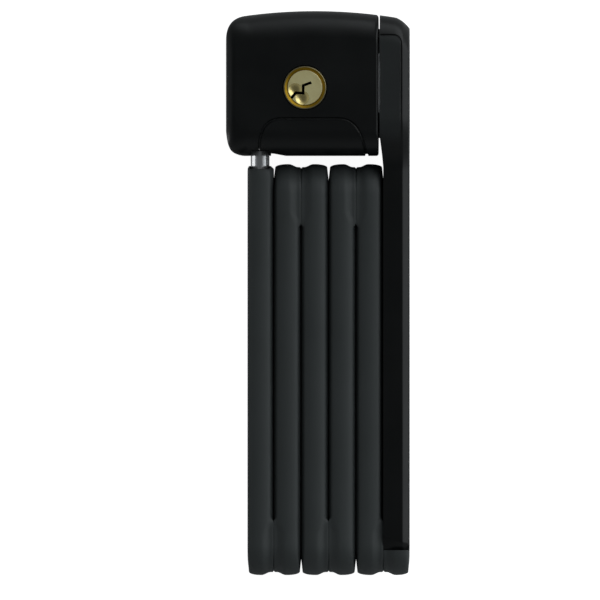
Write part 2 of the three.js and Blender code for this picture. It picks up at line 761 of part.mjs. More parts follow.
// The open clip that keeps the plug in its housing.
function plugClip() {
  const left = KEY.x - CLIP_MOUTH_HALF;
  const right = KEY.x + CLIP_MOUTH_HALF;
  const geometry = ring(CLIP_GROOVE_RADIUS + RUNNING_GAP, CLIP_RADIUS, CLIP_THICKNESS);
  const mouth = box(left, right, KEY.y - 2 * CLIP_RADIUS, KEY.y, 0, DEPTH);
  return turnedOnZ(geometry, KEY.x, KEY.y, CLIP_Z).subtract(mouth);
}

// The cam turns with the plug, and its peg stands up and to the left of the plug's axis at rest.
function cam() {
  const pegX = KEY.x - PEG_ORBIT * Math.SQRT1_2;
  const pegY = KEY.y + PEG_ORBIT * Math.SQRT1_2;
  const disc = cylinder(CAM_RADIUS, CAM_THICKNESS, ROUND);
  const peg = cylinder(PEG_RADIUS, PEG_LENGTH + PEG_ROOT, SMALL_ROUND);
  return turnedOnZ(disc, KEY.x, KEY.y, CAM_Z)
    .subtract(keySquare(TAIL_HALF + RUNNING_GAP, CAM_Z, DEPTH))
    .add(turnedOnZ(peg, pegX, pegY, CAM_Z - PEG_LENGTH));
}

function cylinderSpace() {
  const barrel = cylinder(HOUSING_RADIUS + GAP, DEPTH, LARGE_ROUND);
  return turnedOnZ(barrel, KEY.x, KEY.y, CAM_Z - GAP).add(chamberBlock(GAP));
}

// ---------------------------------------------------------------- latch

// Boxes of the latch, as [x0, x1, y0, y1, z0, z1]: the slotted plate, the post and the bolt.
function latchBoxes() {
  const low = LATCH_Y - LATCH_HALF;
  const high = LATCH_Y + LATCH_HALF;
  const back = MID_Z - LATCH_HALF_DEPTH;
  const front = MID_Z + LATCH_HALF_DEPTH;
  const plateLeft = KEY.x - LATCH_TRAVEL / 2 - LATCH_PLATE_HALF;
  const plateRight = plateLeft + 2 * LATCH_PLATE_HALF;
  const plateFront = LATCH_PLATE_Z + LATCH_PLATE_THICKNESS;
  return [
    [plateLeft, plateRight, low, KEY.y + LATCH_PLATE_TOP, LATCH_PLATE_Z, plateFront],
    [LATCH_SHOULDER_X - LATCH_POST, LATCH_SHOULDER_X, low, high, LATCH_PLATE_Z, front],
    [LATCH_TIP_X, LATCH_SHOULDER_X, low, high, back, front],
  ];
}

function latchBolt() {
  const half = PEG_RADIUS + PEG_PLAY;
  const slotX = KEY.x - LATCH_TRAVEL / 2;
  const [foot, top] = LATCH_SLOT;
  const slot = box(slotX - half, slotX + half, KEY.y + foot, KEY.y + top, 0, DEPTH);
  return latchBoxes()
    .map((sides) => box(...sides))
    .reduce((sum, piece) => sum.add(piece))
    .subtract(slot);
}

function latchSpace() {
  const cut = latchBoxes()
    .map(([x0, x1, y0, y1, z0, z1]) =>
      box(x0 - GAP, x1 + LATCH_TRAVEL + GAP, y0 - GAP, y1 + GAP, z0 - GAP, z1 + GAP),
    )
    .reduce((sum, piece) => sum.add(piece));
  const pocket = cylinder(LATCH_SPRING_POCKET, LATCH_SPRING_END_X - LATCH_SHOULDER_X);
  return cut.add(turnedOnX(pocket, LATCH_SHOULDER_X, LATCH_Y, MID_Z));
}

function latchSpring() {
  const length = LATCH_SPRING_END_X - LATCH_SHOULDER_X - 2 * GAP;
  return turnedOnX(coilSpring(1.5, 0.5, length, 5), LATCH_SHOULDER_X + GAP, LATCH_Y, MID_Z);
}

// ---------------------------------------------------------------- materials

const finish = (color, roughness, metalness) =>
  new THREE.MeshStandardMaterial({ color, roughness, metalness });

const COVER_PLASTIC = finish(0x121415, 0.35, 0);
const RUBBER = finish(0x2c2f30, 0.62, 0);
const STEEL = finish(0x8d9093, 0.4, 1);
const CASE_STEEL = finish(0x6a6d70, 0.5, 1);
const CHROME = finish(0xd9dcdf, 0.12, 1);
const BRASS = finish(0xb79a4c, 0.35, 1);
const NICKEL_SILVER = finish(0xa8a07c, 0.4, 1);
const SPRING_STEEL = finish(0x9fa3a6, 0.3, 1);

// ---------------------------------------------------------------- assembly

const lock = new THREE.Group();
lock.name = "folding_lock";

function place(name, solid, material) {
  const mesh = new THREE.Mesh(toGeometry(solid), material);
  mesh.name = name;
  lock.add(mesh);
}

place("arm_core", armCore(), STEEL);
place("arm_cover", armCover(), COVER_PLASTIC);
place("arm_end_coating", armEndCoating(), RUBBER);
place("head_pivot_rivet", pivotRivet(), STEEL);
place("head_pivot_disc", pivotDisc(), STEEL);

place("head_front_cover", headFrontCover(), COVER_PLASTIC);
place("head_rear_cover", headRearCover(), COVER_PLASTIC);
place("head_panel", headPanel(), COVER_PLASTIC);
place("lock_case", lockCase(), CASE_STEEL);
place("pin_bush", pinBush(), STEEL);

place("cylinder_housing", cylinderHousing(), BRASS);
place("cylinder_plug", cylinderPlug(), NICKEL_SILVER);
place("plug_clip", plugClip(), SPRING_STEEL);
place("cam", cam(), STEEL);
place("chamber_lid", chamberLid(), BRASS);
for (let i = 0; i < PIN_STACKS; i++) {
  const spring = coilSpring(0.85, 0.35, CHAMBER_LID - SPRING_FOOT - 2 * GAP, 3);
  spring.translate(0, SPRING_FOOT + GAP, 0);
  place(`key_pin_${i + 1}`, stackPiece(i, STACK_RADIUS, KEY_PIN_FOOT, PLUG_RADIUS - 0.1), BRASS);
  place(`driver_pin_${i + 1}`, stackPiece(i, STACK_RADIUS, PLUG_RADIUS + 0.15, SPRING_FOOT), STEEL);
  place(`driver_spring_${i + 1}`, onKeyAxis(spring, stackZ(i)), SPRING_STEEL);
}

place("latch_bolt", latchBolt(), STEEL);
place("latch_spring", latchSpring(), SPRING_STEEL);

for (let n = FREE_BARS; n > 0; n--) {
  place(`bar_${n}_core`, barCore(n), STEEL);
  place(`bar_${n}_coating`, barCoating(n), RUBBER);
  place(`hinge_rivet_${n}`, hingeRivet(n), STEEL);
  place(`hinge_washer_${n}`, hingeWasher(n), STEEL);
}
place("locking_pin", lockingPin(), CHROME);

export default lock;
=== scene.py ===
"""The looks of a folding bicycle lock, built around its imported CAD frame. Metres, +Z out of the keyhole.

X runs across the stack of bars, Y along the bars towards the head. The lock lies on its back.
"""

import json
import math

import bmesh
import bpy
import numpy as np
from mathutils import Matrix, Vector
from mathutils.bvhtree import BVHTree


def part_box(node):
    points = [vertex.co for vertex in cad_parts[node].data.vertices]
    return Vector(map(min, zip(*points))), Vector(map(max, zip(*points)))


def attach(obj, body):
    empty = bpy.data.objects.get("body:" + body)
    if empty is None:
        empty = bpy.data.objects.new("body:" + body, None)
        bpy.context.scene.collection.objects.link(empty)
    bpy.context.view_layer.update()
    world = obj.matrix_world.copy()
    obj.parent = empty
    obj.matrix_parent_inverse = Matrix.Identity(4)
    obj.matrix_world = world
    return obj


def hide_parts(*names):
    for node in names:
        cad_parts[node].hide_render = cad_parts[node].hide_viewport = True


MM = 0.001
FREE_BARS = 5

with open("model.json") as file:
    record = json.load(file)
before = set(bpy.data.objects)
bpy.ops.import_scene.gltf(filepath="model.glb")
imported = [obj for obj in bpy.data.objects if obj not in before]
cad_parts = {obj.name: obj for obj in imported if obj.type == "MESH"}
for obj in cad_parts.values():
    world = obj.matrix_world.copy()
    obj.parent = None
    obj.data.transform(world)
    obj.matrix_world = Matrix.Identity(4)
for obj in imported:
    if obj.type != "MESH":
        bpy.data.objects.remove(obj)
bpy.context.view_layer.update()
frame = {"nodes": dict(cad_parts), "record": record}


# ---------------------------------------------------------------- sizes, from the frame


def middle(node):
    low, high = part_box(node)
    return (low + high) / 2


def joint_place(name):
    """Where a joint's axis stands."""
    for joint in frame["record"]["behaviour"]["joints"]:
        if joint["name"] == name:
            return Vector(joint["pos_m"])
    raise KeyError(name)


HEAD_LOW, HEAD_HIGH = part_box("head_front_cover")
HEAD_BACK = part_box("head_rear_cover")[0].z
DEPTH = HEAD_HIGH.z - HEAD_BACK
MID_Z = (HEAD_HIGH.z + HEAD_BACK) / 2
HEAD_MID_Y = (HEAD_HIGH.y + HEAD_LOW.y) / 2
HEAD_HALF = (HEAD_HIGH.y - HEAD_LOW.y) / 2
ARM_LOW, ARM_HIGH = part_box("arm_cover")
COAT_LOW, COAT_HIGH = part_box("bar_3_coating")
COAT_RADIUS = (COAT_HIGH.z - COAT_LOW.z) / 2
LOW_PIVOT_Y = middle("hinge_washer_1").y
HIGH_PIVOT_Y = middle("hinge_washer_2").y
PITCH = middle("hinge_washer_2").x - middle("hinge_washer_1").x
CORE_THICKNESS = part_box("bar_3_core")[1].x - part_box("bar_3_core")[0].x
CORE_RADIUS = (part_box("bar_3_core")[1].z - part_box("bar_3_core")[0].z) / 2
WASHER_RADIUS = (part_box("hinge_washer_1")[1].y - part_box("hinge_washer_1")[0].y) / 2
KEY = joint_place("plug_turn")
PIN_LOW, PIN_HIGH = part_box("locking_pin")
PIN_X = middle("locking_pin").x
PIN_RADIUS = (PIN_HIGH.x - PIN_LOW.x) / 2
PIVOT_Y = middle("head_pivot_disc").y

# ---------------------------------------------------------------- sizes, chosen

# The head: its crowned top, its round edges and its shells.
CROWN_X = -1 * MM
CROWN_RADIUS = 170 * MM
PROFILE_RADIUS = 9 * MM
EDGE_ROUND = 3.2 * MM
SHELL = 2 * MM
PANEL_LEFT = PIN_X - 0.05 * MM
PANEL_RIGHT = 16.3 * MM
PANEL_HEIGHT = 12.4 * MM
PANEL_GROOVE = 0.52 * MM
PIVOT_OPENING = 5 * MM

# The coatings: domed edges, leaning walls, and webs that nearly meet over a hinge.
GAP = 0.3 * MM
DOME_HALF = 3.8 * MM
DOME_DEPTH = 1.6 * MM
WALL_DEPTH = 2.6 * MM
SEAM_HALF = PITCH / 2 - 0.02 * MM
SEAM_DROP = 1.0 * MM
FREE_HALF = 4.15 * MM
UPPER_WEB = 11.6 * MM
LOWER_WEB = 9.6 * MM
TIP_CORNER_INSET = 1.15 * MM
TIP_BASE_INSET = 5 * MM
PIN_SEAT_Y = 41.85 * MM

# The arm: its hard cover spreads from the neck to the shoulder and has a chamfer outside.
ARM_INNER_X = 20.9 * MM
ARM_BAR_SIDE_X = 22.06 * MM
ARM_FOOT_Y = ARM_LOW.y - 1.5 * MM
ARM_BEVEL_DEPTH = 1.6 * MM
ARM_NECK_Y = 41 * MM
ARM_SHOULDER_Y = 59 * MM
ARM_CHAMFER_X = 28.6 * MM
ARM_CHAMFER_DEPTH = 1.6 * MM
PLATE_RIGHT = 28.1 * MM
PLATE_TOP = 86.8 * MM
PLATE_FOOT = 52 * MM
PLATE_GROOVE = 0.45 * MM

# The cylinder and the friction disc.
HOUSING_RADIUS = 7.35 * MM
PLUG_RADIUS = 5.85 * MM
CYLINDER_FRONT = 2.6 * MM
KEYWAY_DEPTH = 12 * MM
KEYWAY_HALF = 0.45 * MM
SCOOP_RADIUS = 3.9 * MM
SCOOP_SINK = 0.8 * MM
SCOOP_PLACES = ((-3.3 * MM, -0.8 * MM), (-0.9 * MM, -3.5 * MM))
PALE_EDGE_RADIUS = 6.8 * MM
RIVET_HOLE = 4.4 * MM
DISC_FLAT = DEPTH / 2 - 1.3 * MM

# The stage. Each wall of light has a direction, where it starts and ends as a cosine, and a strength.
FLOOR_GLOW = 0.93
BACKDROP = 0.95
AMBIENT = 0.19
OVERHEAD = 0.4
WALLS = [
    ((0.81, 0.59, 0), 0.15, 0.95, 0.95),
    ((-1, 0, 0), 0.4, 0.95, 0.1),
]
STRIP_PLACE = (-60 * MM, 44.5 * MM, 20 * MM)
STRIP_SIZE = (8 * MM, 38 * MM)
VIEW_CENTRE = (-6.1 * MM, -2.3 * MM)
VIEW_WIDTH = 202.2 * MM
CAMERA_DISTANCE = 8.0
CAMERA_ASIDE = 112 * MM
SENSOR = 36


def bar_x(n):
    return middle(f"bar_{n}_core").x


def crown_y(x):
    return HEAD_HIGH.y - (x - CROWN_X) ** 2 / (2 * CROWN_RADIUS)


# ---------------------------------------------------------------- mesh helpers


def mesh_object(name, points, faces):
    mesh = bpy.data.meshes.new(name)
    mesh.from_pydata([tuple(p) for p in points], [], [tuple(f) for f in faces])
    mesh.validate()
    obj = bpy.data.objects.new(name, mesh)
    bpy.context.scene.collection.objects.link(obj)
    face_outwards(obj)
    return obj


def face_outwards(obj):
    work = bmesh.new()
    work.from_mesh(obj.data)
    bmesh.ops.recalc_face_normals(work, faces=work.faces)
    if work.calc_volume(signed=True) < 0:
        bmesh.ops.reverse_faces(work, faces=work.faces)
    work.to_mesh(obj.data)
    work.free()


def smooth(obj, angle=30):
    """Smooth shading, sharp over the given angle, with flat faces kept flat."""
    obj.data.polygons.foreach_set("use_smooth", [True] * len(obj.data.polygons))
    obj.data.set_sharp_from_angle(angle=math.radians(angle))
    weighted = obj.modifiers.new("normals", "WEIGHTED_NORMAL")
    weighted.mode = "FACE_AREA_WITH_ANGLE"
    weighted.keep_sharp = True
    return obj


def boolean(target, cutter, operation="DIFFERENCE"):
    """Cuts target with cutter, which is used up."""
    cut = target.modifiers.new("cut", "BOOLEAN")
    cut.operation = operation
    cut.solver = "EXACT"
    cut.object = cutter
    bpy.context.view_layer.update()
    evaluated = target.evaluated_get(bpy.context.evaluated_depsgraph_get())
    mesh = bpy.data.meshes.new_from_object(evaluated)
    target.modifiers.remove(cut)
    old = target.data
    target.data = mesh
    bpy.data.meshes.remove(old)
    bpy.data.objects.remove(cutter)
    return target


def copy_of(obj, name):
    twin = obj.copy()
    twin.data = obj.data.copy()
    twin.name = name
    bpy.context.scene.collection.objects.link(twin)
    return twin


def ring_faces(rings, count):
    """The four-sided faces between neighbouring rings of points."""
    faces = []
    for k in range(rings - 1):
        for i in range(count):
            j = (i + 1) % count
            a, b = k * count, (k + 1) * count
            faces.append((a + i, a + j, b + j, b + i))
    return faces


def loft(name, rings):
    """A closed solid through rings of equal point counts, with flat ends."""
    count = len(rings[0])
    points = [p for ring in rings for p in ring]
    faces = ring_faces(len(rings), count)
    faces.append(range(count))
    faces.append(range(len(points) - count, len(points)))
    return mesh_object(name, points, faces)


def block(name, low, high):
    x0, y0, z0 = low
    x1, y1, z1 = high
    outline = [(x0, y0), (x1, y0), (x1, y1), (x0, y1)]
    return loft(name, [[(x, y, z) for x, y in outline] for z in (z0, z1)])


def turned(name, profile, axis, centre, facets=96):
    """A turned solid. The profile is (radius, height) pairs from foot to top along the axis."""
    rings = []
    for radius, height in profile:
        ring = []
        for i in range(facets):
            a = 2 * math.pi * i / facets
            u, v = radius * math.cos(a), radius * math.sin(a)
            offset = {"x": (height, u, v), "y": (v, height, u), "z": (u, v, height)}[axis]
            ring.append(Vector(centre) + Vector(offset))
        rings.append(ring)
    return loft(name, rings)


def rod(name, path, radius, sides=12):
    """A round rod along a path of points, for cutting grooves."""
    rings = []
    for i, point in enumerate(path):
        ahead = path[min(i + 1, len(path) - 1)]
        behind = path[max(i - 1, 0)]
        along = (ahead - behind).normalized()
        side = along.cross(Vector((0, 0, 1))).normalized()
        up = side.cross(along).normalized()
        ring = []
        for k in range(sides):
            a = 2 * math.pi * k / sides
            ring.append(point + radius * (math.cos(a) * side + math.sin(a) * up))
        rings.append(ring)
    return loft(name, rings)


def ease(t):
    t = np.clip(t, 0, 1)
    return t * t * (3 - 2 * t)


# ---------------------------------------------------------------- outlines


def bezier(a, b, c, steps):
    """Points of a quadratic curve from a to c, without a itself."""
    out = []
    for i in range(1, steps + 1):
        t = i / steps
        out.append(tuple((1 - t) ** 2 * p + 2 * t * (1 - t) * q + t * t * r for p, q, r in zip(a, b, c)))
    return out


def line(a, b, steps):
    return [tuple(p + (q - p) * i / steps for p, q in zip(a, b)) for i in range(1, steps + 1)]


def head_outline():
    """Front view of the head, anticlockwise from the foot of its left corner."""
    left, right = HEAD_LOW.x, HEAD_HIGH.x
    low = HEAD_LOW.y
    corner = 0.9 * MM
    shoulder = left + 6.8 * MM
    top_right = (right - corner, crown_y(right - corner))
    points = [(left + 5.8 * MM, low)]
    points += line(points[-1], (right - corner, low), 40)
    points += bezier(points[-1], (right, low), (right, low + corner), 4)
    points += line(points[-1], (right, top_right[1] - corner), 30)
    points += bezier(points[-1], (right, top_right[1]), top_right, 4)
    for i in range(1, 41):
        x = top_right[0] + (shoulder - top_right[0]) * i / 40
        points.append((x, crown_y(x)))
    control = (left + 0.2 * MM, points[-1][1] - 0.8 * MM)
    points += bezier(points[-1], control, (left, points[-1][1] - 7.8 * MM), 16)
    points += line(points[-1], (left, low + 8.2 * MM), 24)
    points += bezier(points[-1], (left + 0.3 * MM, low + 4.2 * MM), (left + 1.2 * MM, low + 2.5 * MM), 6)
    points += bezier(points[-1], (left + 2.2 * MM, low + 0.3 * MM), (left + 5.8 * MM, low), 10)
    return points[1:]


def round_drop(distance, radius):
    """How far a rounded edge has fallen at a distance in from its side."""
    reach = max(radius - distance, 0)
    return radius - math.sqrt(max(radius * radius - reach * reach, 0))


def head_form(name, inset=0.0, steps=12):
    """The head's whole outer form: a crowned block with a generous round on its long edges."""
    left, right = HEAD_LOW.x, HEAD_HIGH.x
    face_left, face_right = left + EDGE_ROUND, right - 0.6 * MM
    centre_x = (left + right) / 2
    shrink_x = 1 - 2 * inset / (right - left)
    shrink_y = 1 - inset / HEAD_HALF
    outer, inner, drops = [], [], []
    for x, y in head_outline():
        top = crown_y(x)
        from_edge = min(abs(top - y), abs(y - HEAD_LOW.y))
        side = EDGE_ROUND if x < centre_x else 0.5 * MM
        fall = round_drop(from_edge, PROFILE_RADIUS)
        share = (x - left) / (right - left)
        outer.append((centre_x + (x - centre_x) * shrink_x, HEAD_MID_Y + (y - HEAD_MID_Y) * shrink_y))
        inner_x = face_left + (face_right - face_left) * share
        inner_y = HEAD_MID_Y + (y - HEAD_MID_Y) * (1 - PROFILE_RADIUS / HEAD_HALF)
        inner.append((centre_x + (inner_x - centre_x) * shrink_x, inner_y))
        drops.append((fall**3 + side**3) ** (1 / 3))
    front = HEAD_HIGH.z - inset
    half = front - MID_Z
    rings = []
    for k in range(steps + 1):
        a = math.pi / 2 * (1 - k / steps)
        ring = []
        for o, i, drop in zip(outer, inner, drops):
            drop = min(drop, half - 1 * MM)
            x = i[0] + (o[0] - i[0]) * math.cos(a)
            y = i[1] + (o[1] - i[1]) * math.cos(a)
            ring.append((x, y, front - drop + drop * math.sin(a)))
        rings.append(ring)
    mirrored = [[(x, y, 2 * MID_Z - z) for x, y, z in ring] for ring in reversed(rings)]
    return loft(name, rings + mirrored)


def panel_path():
    """The edge of the arched panel low on the head's front, from its left foot to its right."""
    left, right = PANEL_LEFT, PANEL_RIGHT
    top = HEAD_LOW.y + PANEL_HEIGHT
    low = HEAD_LOW.y - 1 * MM
    points = [(left, low)] + line((left, low), (left, HEAD_LOW.y + 3 * MM), 6)
    points += bezier(points[-1], (left + 0.4 * MM, top), (left + 7.6 * MM, top), 20)
    points += line(points[-1], (right - 9.4 * MM, top), 20)
    points += bezier(points[-1], (right - 1.1 * MM, top), (right, low), 26)
    return points


def dense_panel_edge():
    """The panel's edge with three times the points, to be dropped on to the head's front."""
    path = panel_path()
    out = [path[0]]
    for a, b in zip(path, path[1:]):
        out += line(a, b, 3)
    return out


# ---------------------------------------------------------------- head


def pin_mouth():
    """What the head leaves out so that the pin can come away, to the front and round to the back.

    A lip at the front hides the pin's tip."""
    half = PIN_RADIUS + 0.15 * MM
    roof = PIN_HIGH.y + 0.35 * MM
    low = HEAD_LOW.y - 5 * MM
    lip_z = MID_Z + PIN_RADIUS + 0.4 * MM
    front = block("mouth", (PIN_X - half, low, MID_Z - 1 * MM), (PIN_X + half, roof, lip_z))
    edge = PIN_HIGH.y - 0.15 * MM
    side = [(low, lip_z - 1 * MM), (PIN_HIGH.y, lip_z - 1 * MM), (edge, HEAD_HIGH.z)]
    side += [(edge, 2 * DEPTH), (low, 2 * DEPTH)]
    across = (PIN_X - PIN_RADIUS + 0.4 * MM, PIN_X + PIN_RADIUS - 0.1 * MM)
    lip = loft("lip", [[(x, y, z) for y, z in side] for x in across])
    boolean(front, lip, "UNION")
    back = block("mouth_back", (PIN_X - half, low, -DEPTH), (PIN_X + half, PIVOT_Y, MID_Z))
    reach = PIVOT_Y - roof
    profile = [(reach, -2 * half), (reach, 2 * half)]
    boolean(back, turned("hub", profile, "x", (PIN_X, PIVOT_Y, MID_Z), 180))
    return boolean(front, back, "UNION")


def lower_edge_breaks():
    """A slanted flare in the head's lower edge beside the pin, and a slot at the panel's right foot."""
    low = HEAD_LOW.y
    flare = [(-16, -1), (-10.9, -1), (-10.9, 0), (-14.9, 0.75), (-16, 0.85)]
    slot = [(15.5, -1), (17.2, -1), (16.9, 0.65), (15.9, 0.65)]
    cutters = []
    for outline in (flare, slot):
        corners = [(x * MM, low + y * MM) for x, y in outline]
        cutters.append(loft("edge_break", [[(x, y, z) for x, y in corners] for z in (-0.01, 2 * DEPTH)]))
    return cutters


def half_space(name, z0, z1):
    """A block wider than the lock, between two heights."""
    return block(name, (-0.1, -0.2, z0), (0.1, 0.2, z1))


def panel_prism(name, grow):
    """The space in front of the head's middle plane that the arched panel fills."""
    middle_x = (PIN_X + PANEL_RIGHT) / 2
    shoulder_y = HEAD_LOW.y + 9 * MM
    points = []
    for x, y in panel_path():
        sideways = grow if x > middle_x else -grow
        points.append((x, y + grow) if y > shoulder_y else (x + sideways, y))
    return loft(name, [[(x, y, z) for x, y in points] for z in (MID_Z, 2 * DEPTH)])


def surface_path(obj, points, reach):
    """Drops front-view points on to an object's front."""
    tree = BVHTree.FromObject(obj, bpy.context.evaluated_depsgraph_get())
    path = []
    for x, y in points:
        hit = tree.ray_cast(Vector((x, y, reach)), Vector((0, 0, -1)))[0]
        if hit is not None:
            path.append(hit)
    return path


def make_head():
    """The front cover, the rear cover and the arched panel, as 2 mm shells."""
    form = head_form("head_form")
    groove = rod("groove", surface_path(form, dense_panel_edge(), 2 * DEPTH), PANEL_GROOVE)
    boolean(form, groove)
    boolean(form, pin_mouth())
    for cutter in lower_edge_breaks():
        boolean(form, cutter)
    boolean(form, head_form("hollow", SHELL, 4))
    opening = [(PIVOT_OPENING, -0.01), (PIVOT_OPENING, 0.02)]
    boolean(form, turned("pivot_hole", opening, "x", (HEAD_HIGH.x, PIVOT_Y, MID_Z)))
    rear = boolean(copy_of(form, "rear_shell"), half_space("back", -1, MID_Z - GAP / 2), "INTERSECT")
    front = boolean(form, half_space("front", MID_Z + GAP / 2, 1), "INTERSECT")
    panel = boolean(copy_of(front, "front_panel"), panel_prism("panel_in", 0), "INTERSECT")
    boolean(front, panel_prism("panel_out", 0.15 * MM))
    hole_radius = HOUSING_RADIUS + 0.2 * MM
    hole = turned("hole", [(hole_radius, 0), (hole_radius, 0.05)], "z", (KEY.x, KEY.y, MID_Z))
    boolean(front, hole)
    front.name = "front_shell"
    return front, rear, panel


# ---------------------------------------------------------------- coatings


def coating_rim(high, square):
    """The bars' outline as (spine y, direction) samples. A sample and its twin across the spine pair up.

    The upper end is a half circle, or nearly square where the locking pin stands on it."""
    upper_start = high - 18 * MM
    straight = np.concatenate(
        [
            np.linspace(LOW_PIVOT_Y, LOW_PIVOT_Y + 16 * MM, 25),
            np.linspace(LOW_PIVOT_Y + 22 * MM, upper_start - 6 * MM, 9),
            np.linspace(upper_start, high, 28),
        ]
    )
    turn = 16
    power = 0.3 if square else 1
    samples = []
    for i in range(turn):
        a = math.pi / 2 * i / turn
        samples.append((LOW_PIVOT_Y, -math.cos(a), math.sin(a)))
    samples += [(y, 0.0, 1.0) for y in straight]
    for i in range(1, turn + 1):
        a = math.pi / 2 * i / turn
        samples.append((high, math.sin(a) ** power, max(math.cos(a), 0.0) ** power))
    samples[-1] = (high, 1.0, 0.0)
    front = samples[1:-1]
    back = [(y, ny, -nz) for y, ny, nz in reversed(front)]
    return [samples[0]] + front + [samples[-1]] + back


def dome_section():
    """The domed edge, from its crest to its corner, as (across, inset) pairs."""
    steps = 14
    angles = [math.pi / 2 * k / steps for k in range(1, steps + 1)]
    return [(DOME_HALF * math.sin(a), DOME_DEPTH * (1 - math.cos(a))) for a in angles]


def wall_section(half):
    """The face below the dome, which leans out to its full width, as (across, inset) pairs."""
    pairs = []
    for t in (0.06, 0.16, 0.34, 0.6, 0.85, 1.0):
        across = DOME_HALF + (half - DOME_HALF) * math.sin(math.pi / 2 * t)
        pairs.append((across, DOME_DEPTH + WALL_DEPTH * t))
    return pairs


def squarer(across, inset, half, weight):
    """Squares a point of the section up towards the bar's tip, where the dome is wider and flatter."""
    base = half - 0.02 * MM
    corner = base - 0.09 * base
    if inset <= DOME_DEPTH + 0.01 * MM:
        wide = across * corner / DOME_HALF
        deep = inset * TIP_CORNER_INSET / DOME_DEPTH
    else:
        t = (inset - DOME_DEPTH) / WALL_DEPTH
        wide = corner + (base - corner) * t
        deep = TIP_CORNER_INSET + (TIP_BASE_INSET - TIP_CORNER_INSET) * t
    return across + (wide - across) * weight, inset + (deep - inset) * weight


def webbed(across, inset, q, tip):
    """Moves a point of the section where the coating spreads into a web to meet its neighbour's.

    q is the distance from the hinge towards the middle of the bar, and tip is where the web ends."""
    split = (0.1 + 0.3 * float(ease((-q - 1 * MM) / (6 * MM)))) * MM
    if inset > DOME_DEPTH + 0.01 * MM:
        weight = float(ease((tip - q) / (5 * MM)))
        rise = DOME_DEPTH - SEAM_DROP - split
        lift = rise * float(ease(1 - (inset - DOME_DEPTH) / (2.5 * MM)))
        return across + (SEAM_HALF - across) * weight, inset - lift * weight
    full = across * SEAM_HALF / DOME_HALF
    limit = SEAM_HALF - 0.62 * (tip - q)
    weight = float(ease((full - limit) / (0.9 * MM)))
    flat = SEAM_DROP * float(ease((full / SEAM_HALF - 0.12) / 0.66))
    edge = split * float(ease((full / SEAM_HALF - 0.92) / 0.08))
    return across + (full - across) * weight, inset + (flat + edge - inset) * weight


def coating(name, x, joints, walls, high=HIGH_PIVOT_Y, square=False):
    """A bar's rubber skin. joints holds (hinge y, side) pairs, and walls the half width on each side."""
    rim = coating_rim(high, square)
    count = len(rim)

    def section_point(sample, side, across, inset):
        spine, ny, nz = sample
        share = 0.35 if square and spine == high and ny > 0 else 1
        y = spine + (COAT_RADIUS - inset * share) * ny
        past = max(y - high, LOW_PIVOT_Y - y)
        joined = False
        for hinge, joint_side in joints:
            upper = hinge > 0
            q = hinge - y if upper else y - hinge
            tip = UPPER_WEB if upper else LOWER_WEB
            if side == joint_side and q < tip:
                across, inset = webbed(across, inset, q, tip)
                joined = True
        if past > 0 and not joined and share == 1:
            across, inset = squarer(across, inset, walls[side], ny * ny)
        y = spine + (COAT_RADIUS - inset * share) * ny
        z = MID_Z + (COAT_RADIUS - inset) * nz
        return (x + side * across, y, z)

    rows = []
    for side in (-1, 1):
        section = dome_section() + wall_section(walls[side])
        if side == -1:
            section.reverse()
        rows += [[section_point(s, side, across, inset) for s in rim] for across, inset in section]
        if side == -1:
            rows.append([(x, s[0] + COAT_RADIUS * s[1], MID_Z + COAT_RADIUS * s[2]) for s in rim])
    points = [p for row in rows for p in row]
    faces = ring_faces(len(rows), count)
    faces += face_fill(count, 0)
    faces += face_fill(count, len(points) - count)
    return mesh_object(name, points, faces)


def face_fill(count, start):
    """Faces across the inside of a rim, between each point and its twin."""
    half = count // 2
    twin = [0] + [count - i for i in range(1, half)] + [half]
    faces = [(start, start + 1, start + twin[1])]
    for i in range(1, half - 1):
        faces.append((start + i, start + i + 1, start + twin[i + 1], start + twin[i]))
    faces.append((start + half - 1, start + half, start + twin[half - 1]))
    return faces


def core_space(name, x, low, high, square_top=None, room=GAP):
    """The hollow in a coating that its steel core fills, with a little room."""
    radius = CORE_RADIUS + room
    half = CORE_THICKNESS / 2 + room
    outline = []
    for i in range(25):
        a = -math.pi / 2 + math.pi * i / 24
        outline.append((high + radius * math.cos(a), MID_Z + radius * math.sin(a)))
    for i in range(25):
        a = math.pi / 2 + math.pi * i / 24
        outline.append((low + radius * math.cos(a), MID_Z + radius * math.sin(a)))
    if square_top is not None:
        outline = [(min(y, square_top), z) for y, z in outline]
    return loft(name, [[(x + s * half, y, z) for y, z in outline] for s in (-1, 1)])


def washer_space(name, x, y):
    """The hollow for a hinge's washer, half a pitch long from x. No corner is straight above the hinge."""
    radius = WASHER_RADIUS + GAP
    half = PITCH / 2
    return turned(name, [(radius, 0), (radius, half)], "x", (x, y, MID_Z), 50)


def hollow(coat, x, joints, square_top=None):
    """Makes room inside a coating for its steel core and for the washers of its hinges."""
    space = core_space("core_space", x, LOW_PIVOT_Y, HIGH_PIVOT_Y, square_top)
    for hinge, side in joints:
        start = x if side == 1 else x - PITCH / 2
        boolean(space, washer_space("washer_space", start, hinge), "UNION")
    return boolean(coat, space)


def hinge_y(n):
    return LOW_PIVOT_Y if n % 2 else HIGH_PIVOT_Y


def joints_of(n):
    """The hinges of bar n: on its right face with bar n + 1, on its left face with bar n - 1."""
    joints = [(hinge_y(n), 1)]
    if n > 1:
        joints.append((hinge_y(n - 1), -1))
    return joints


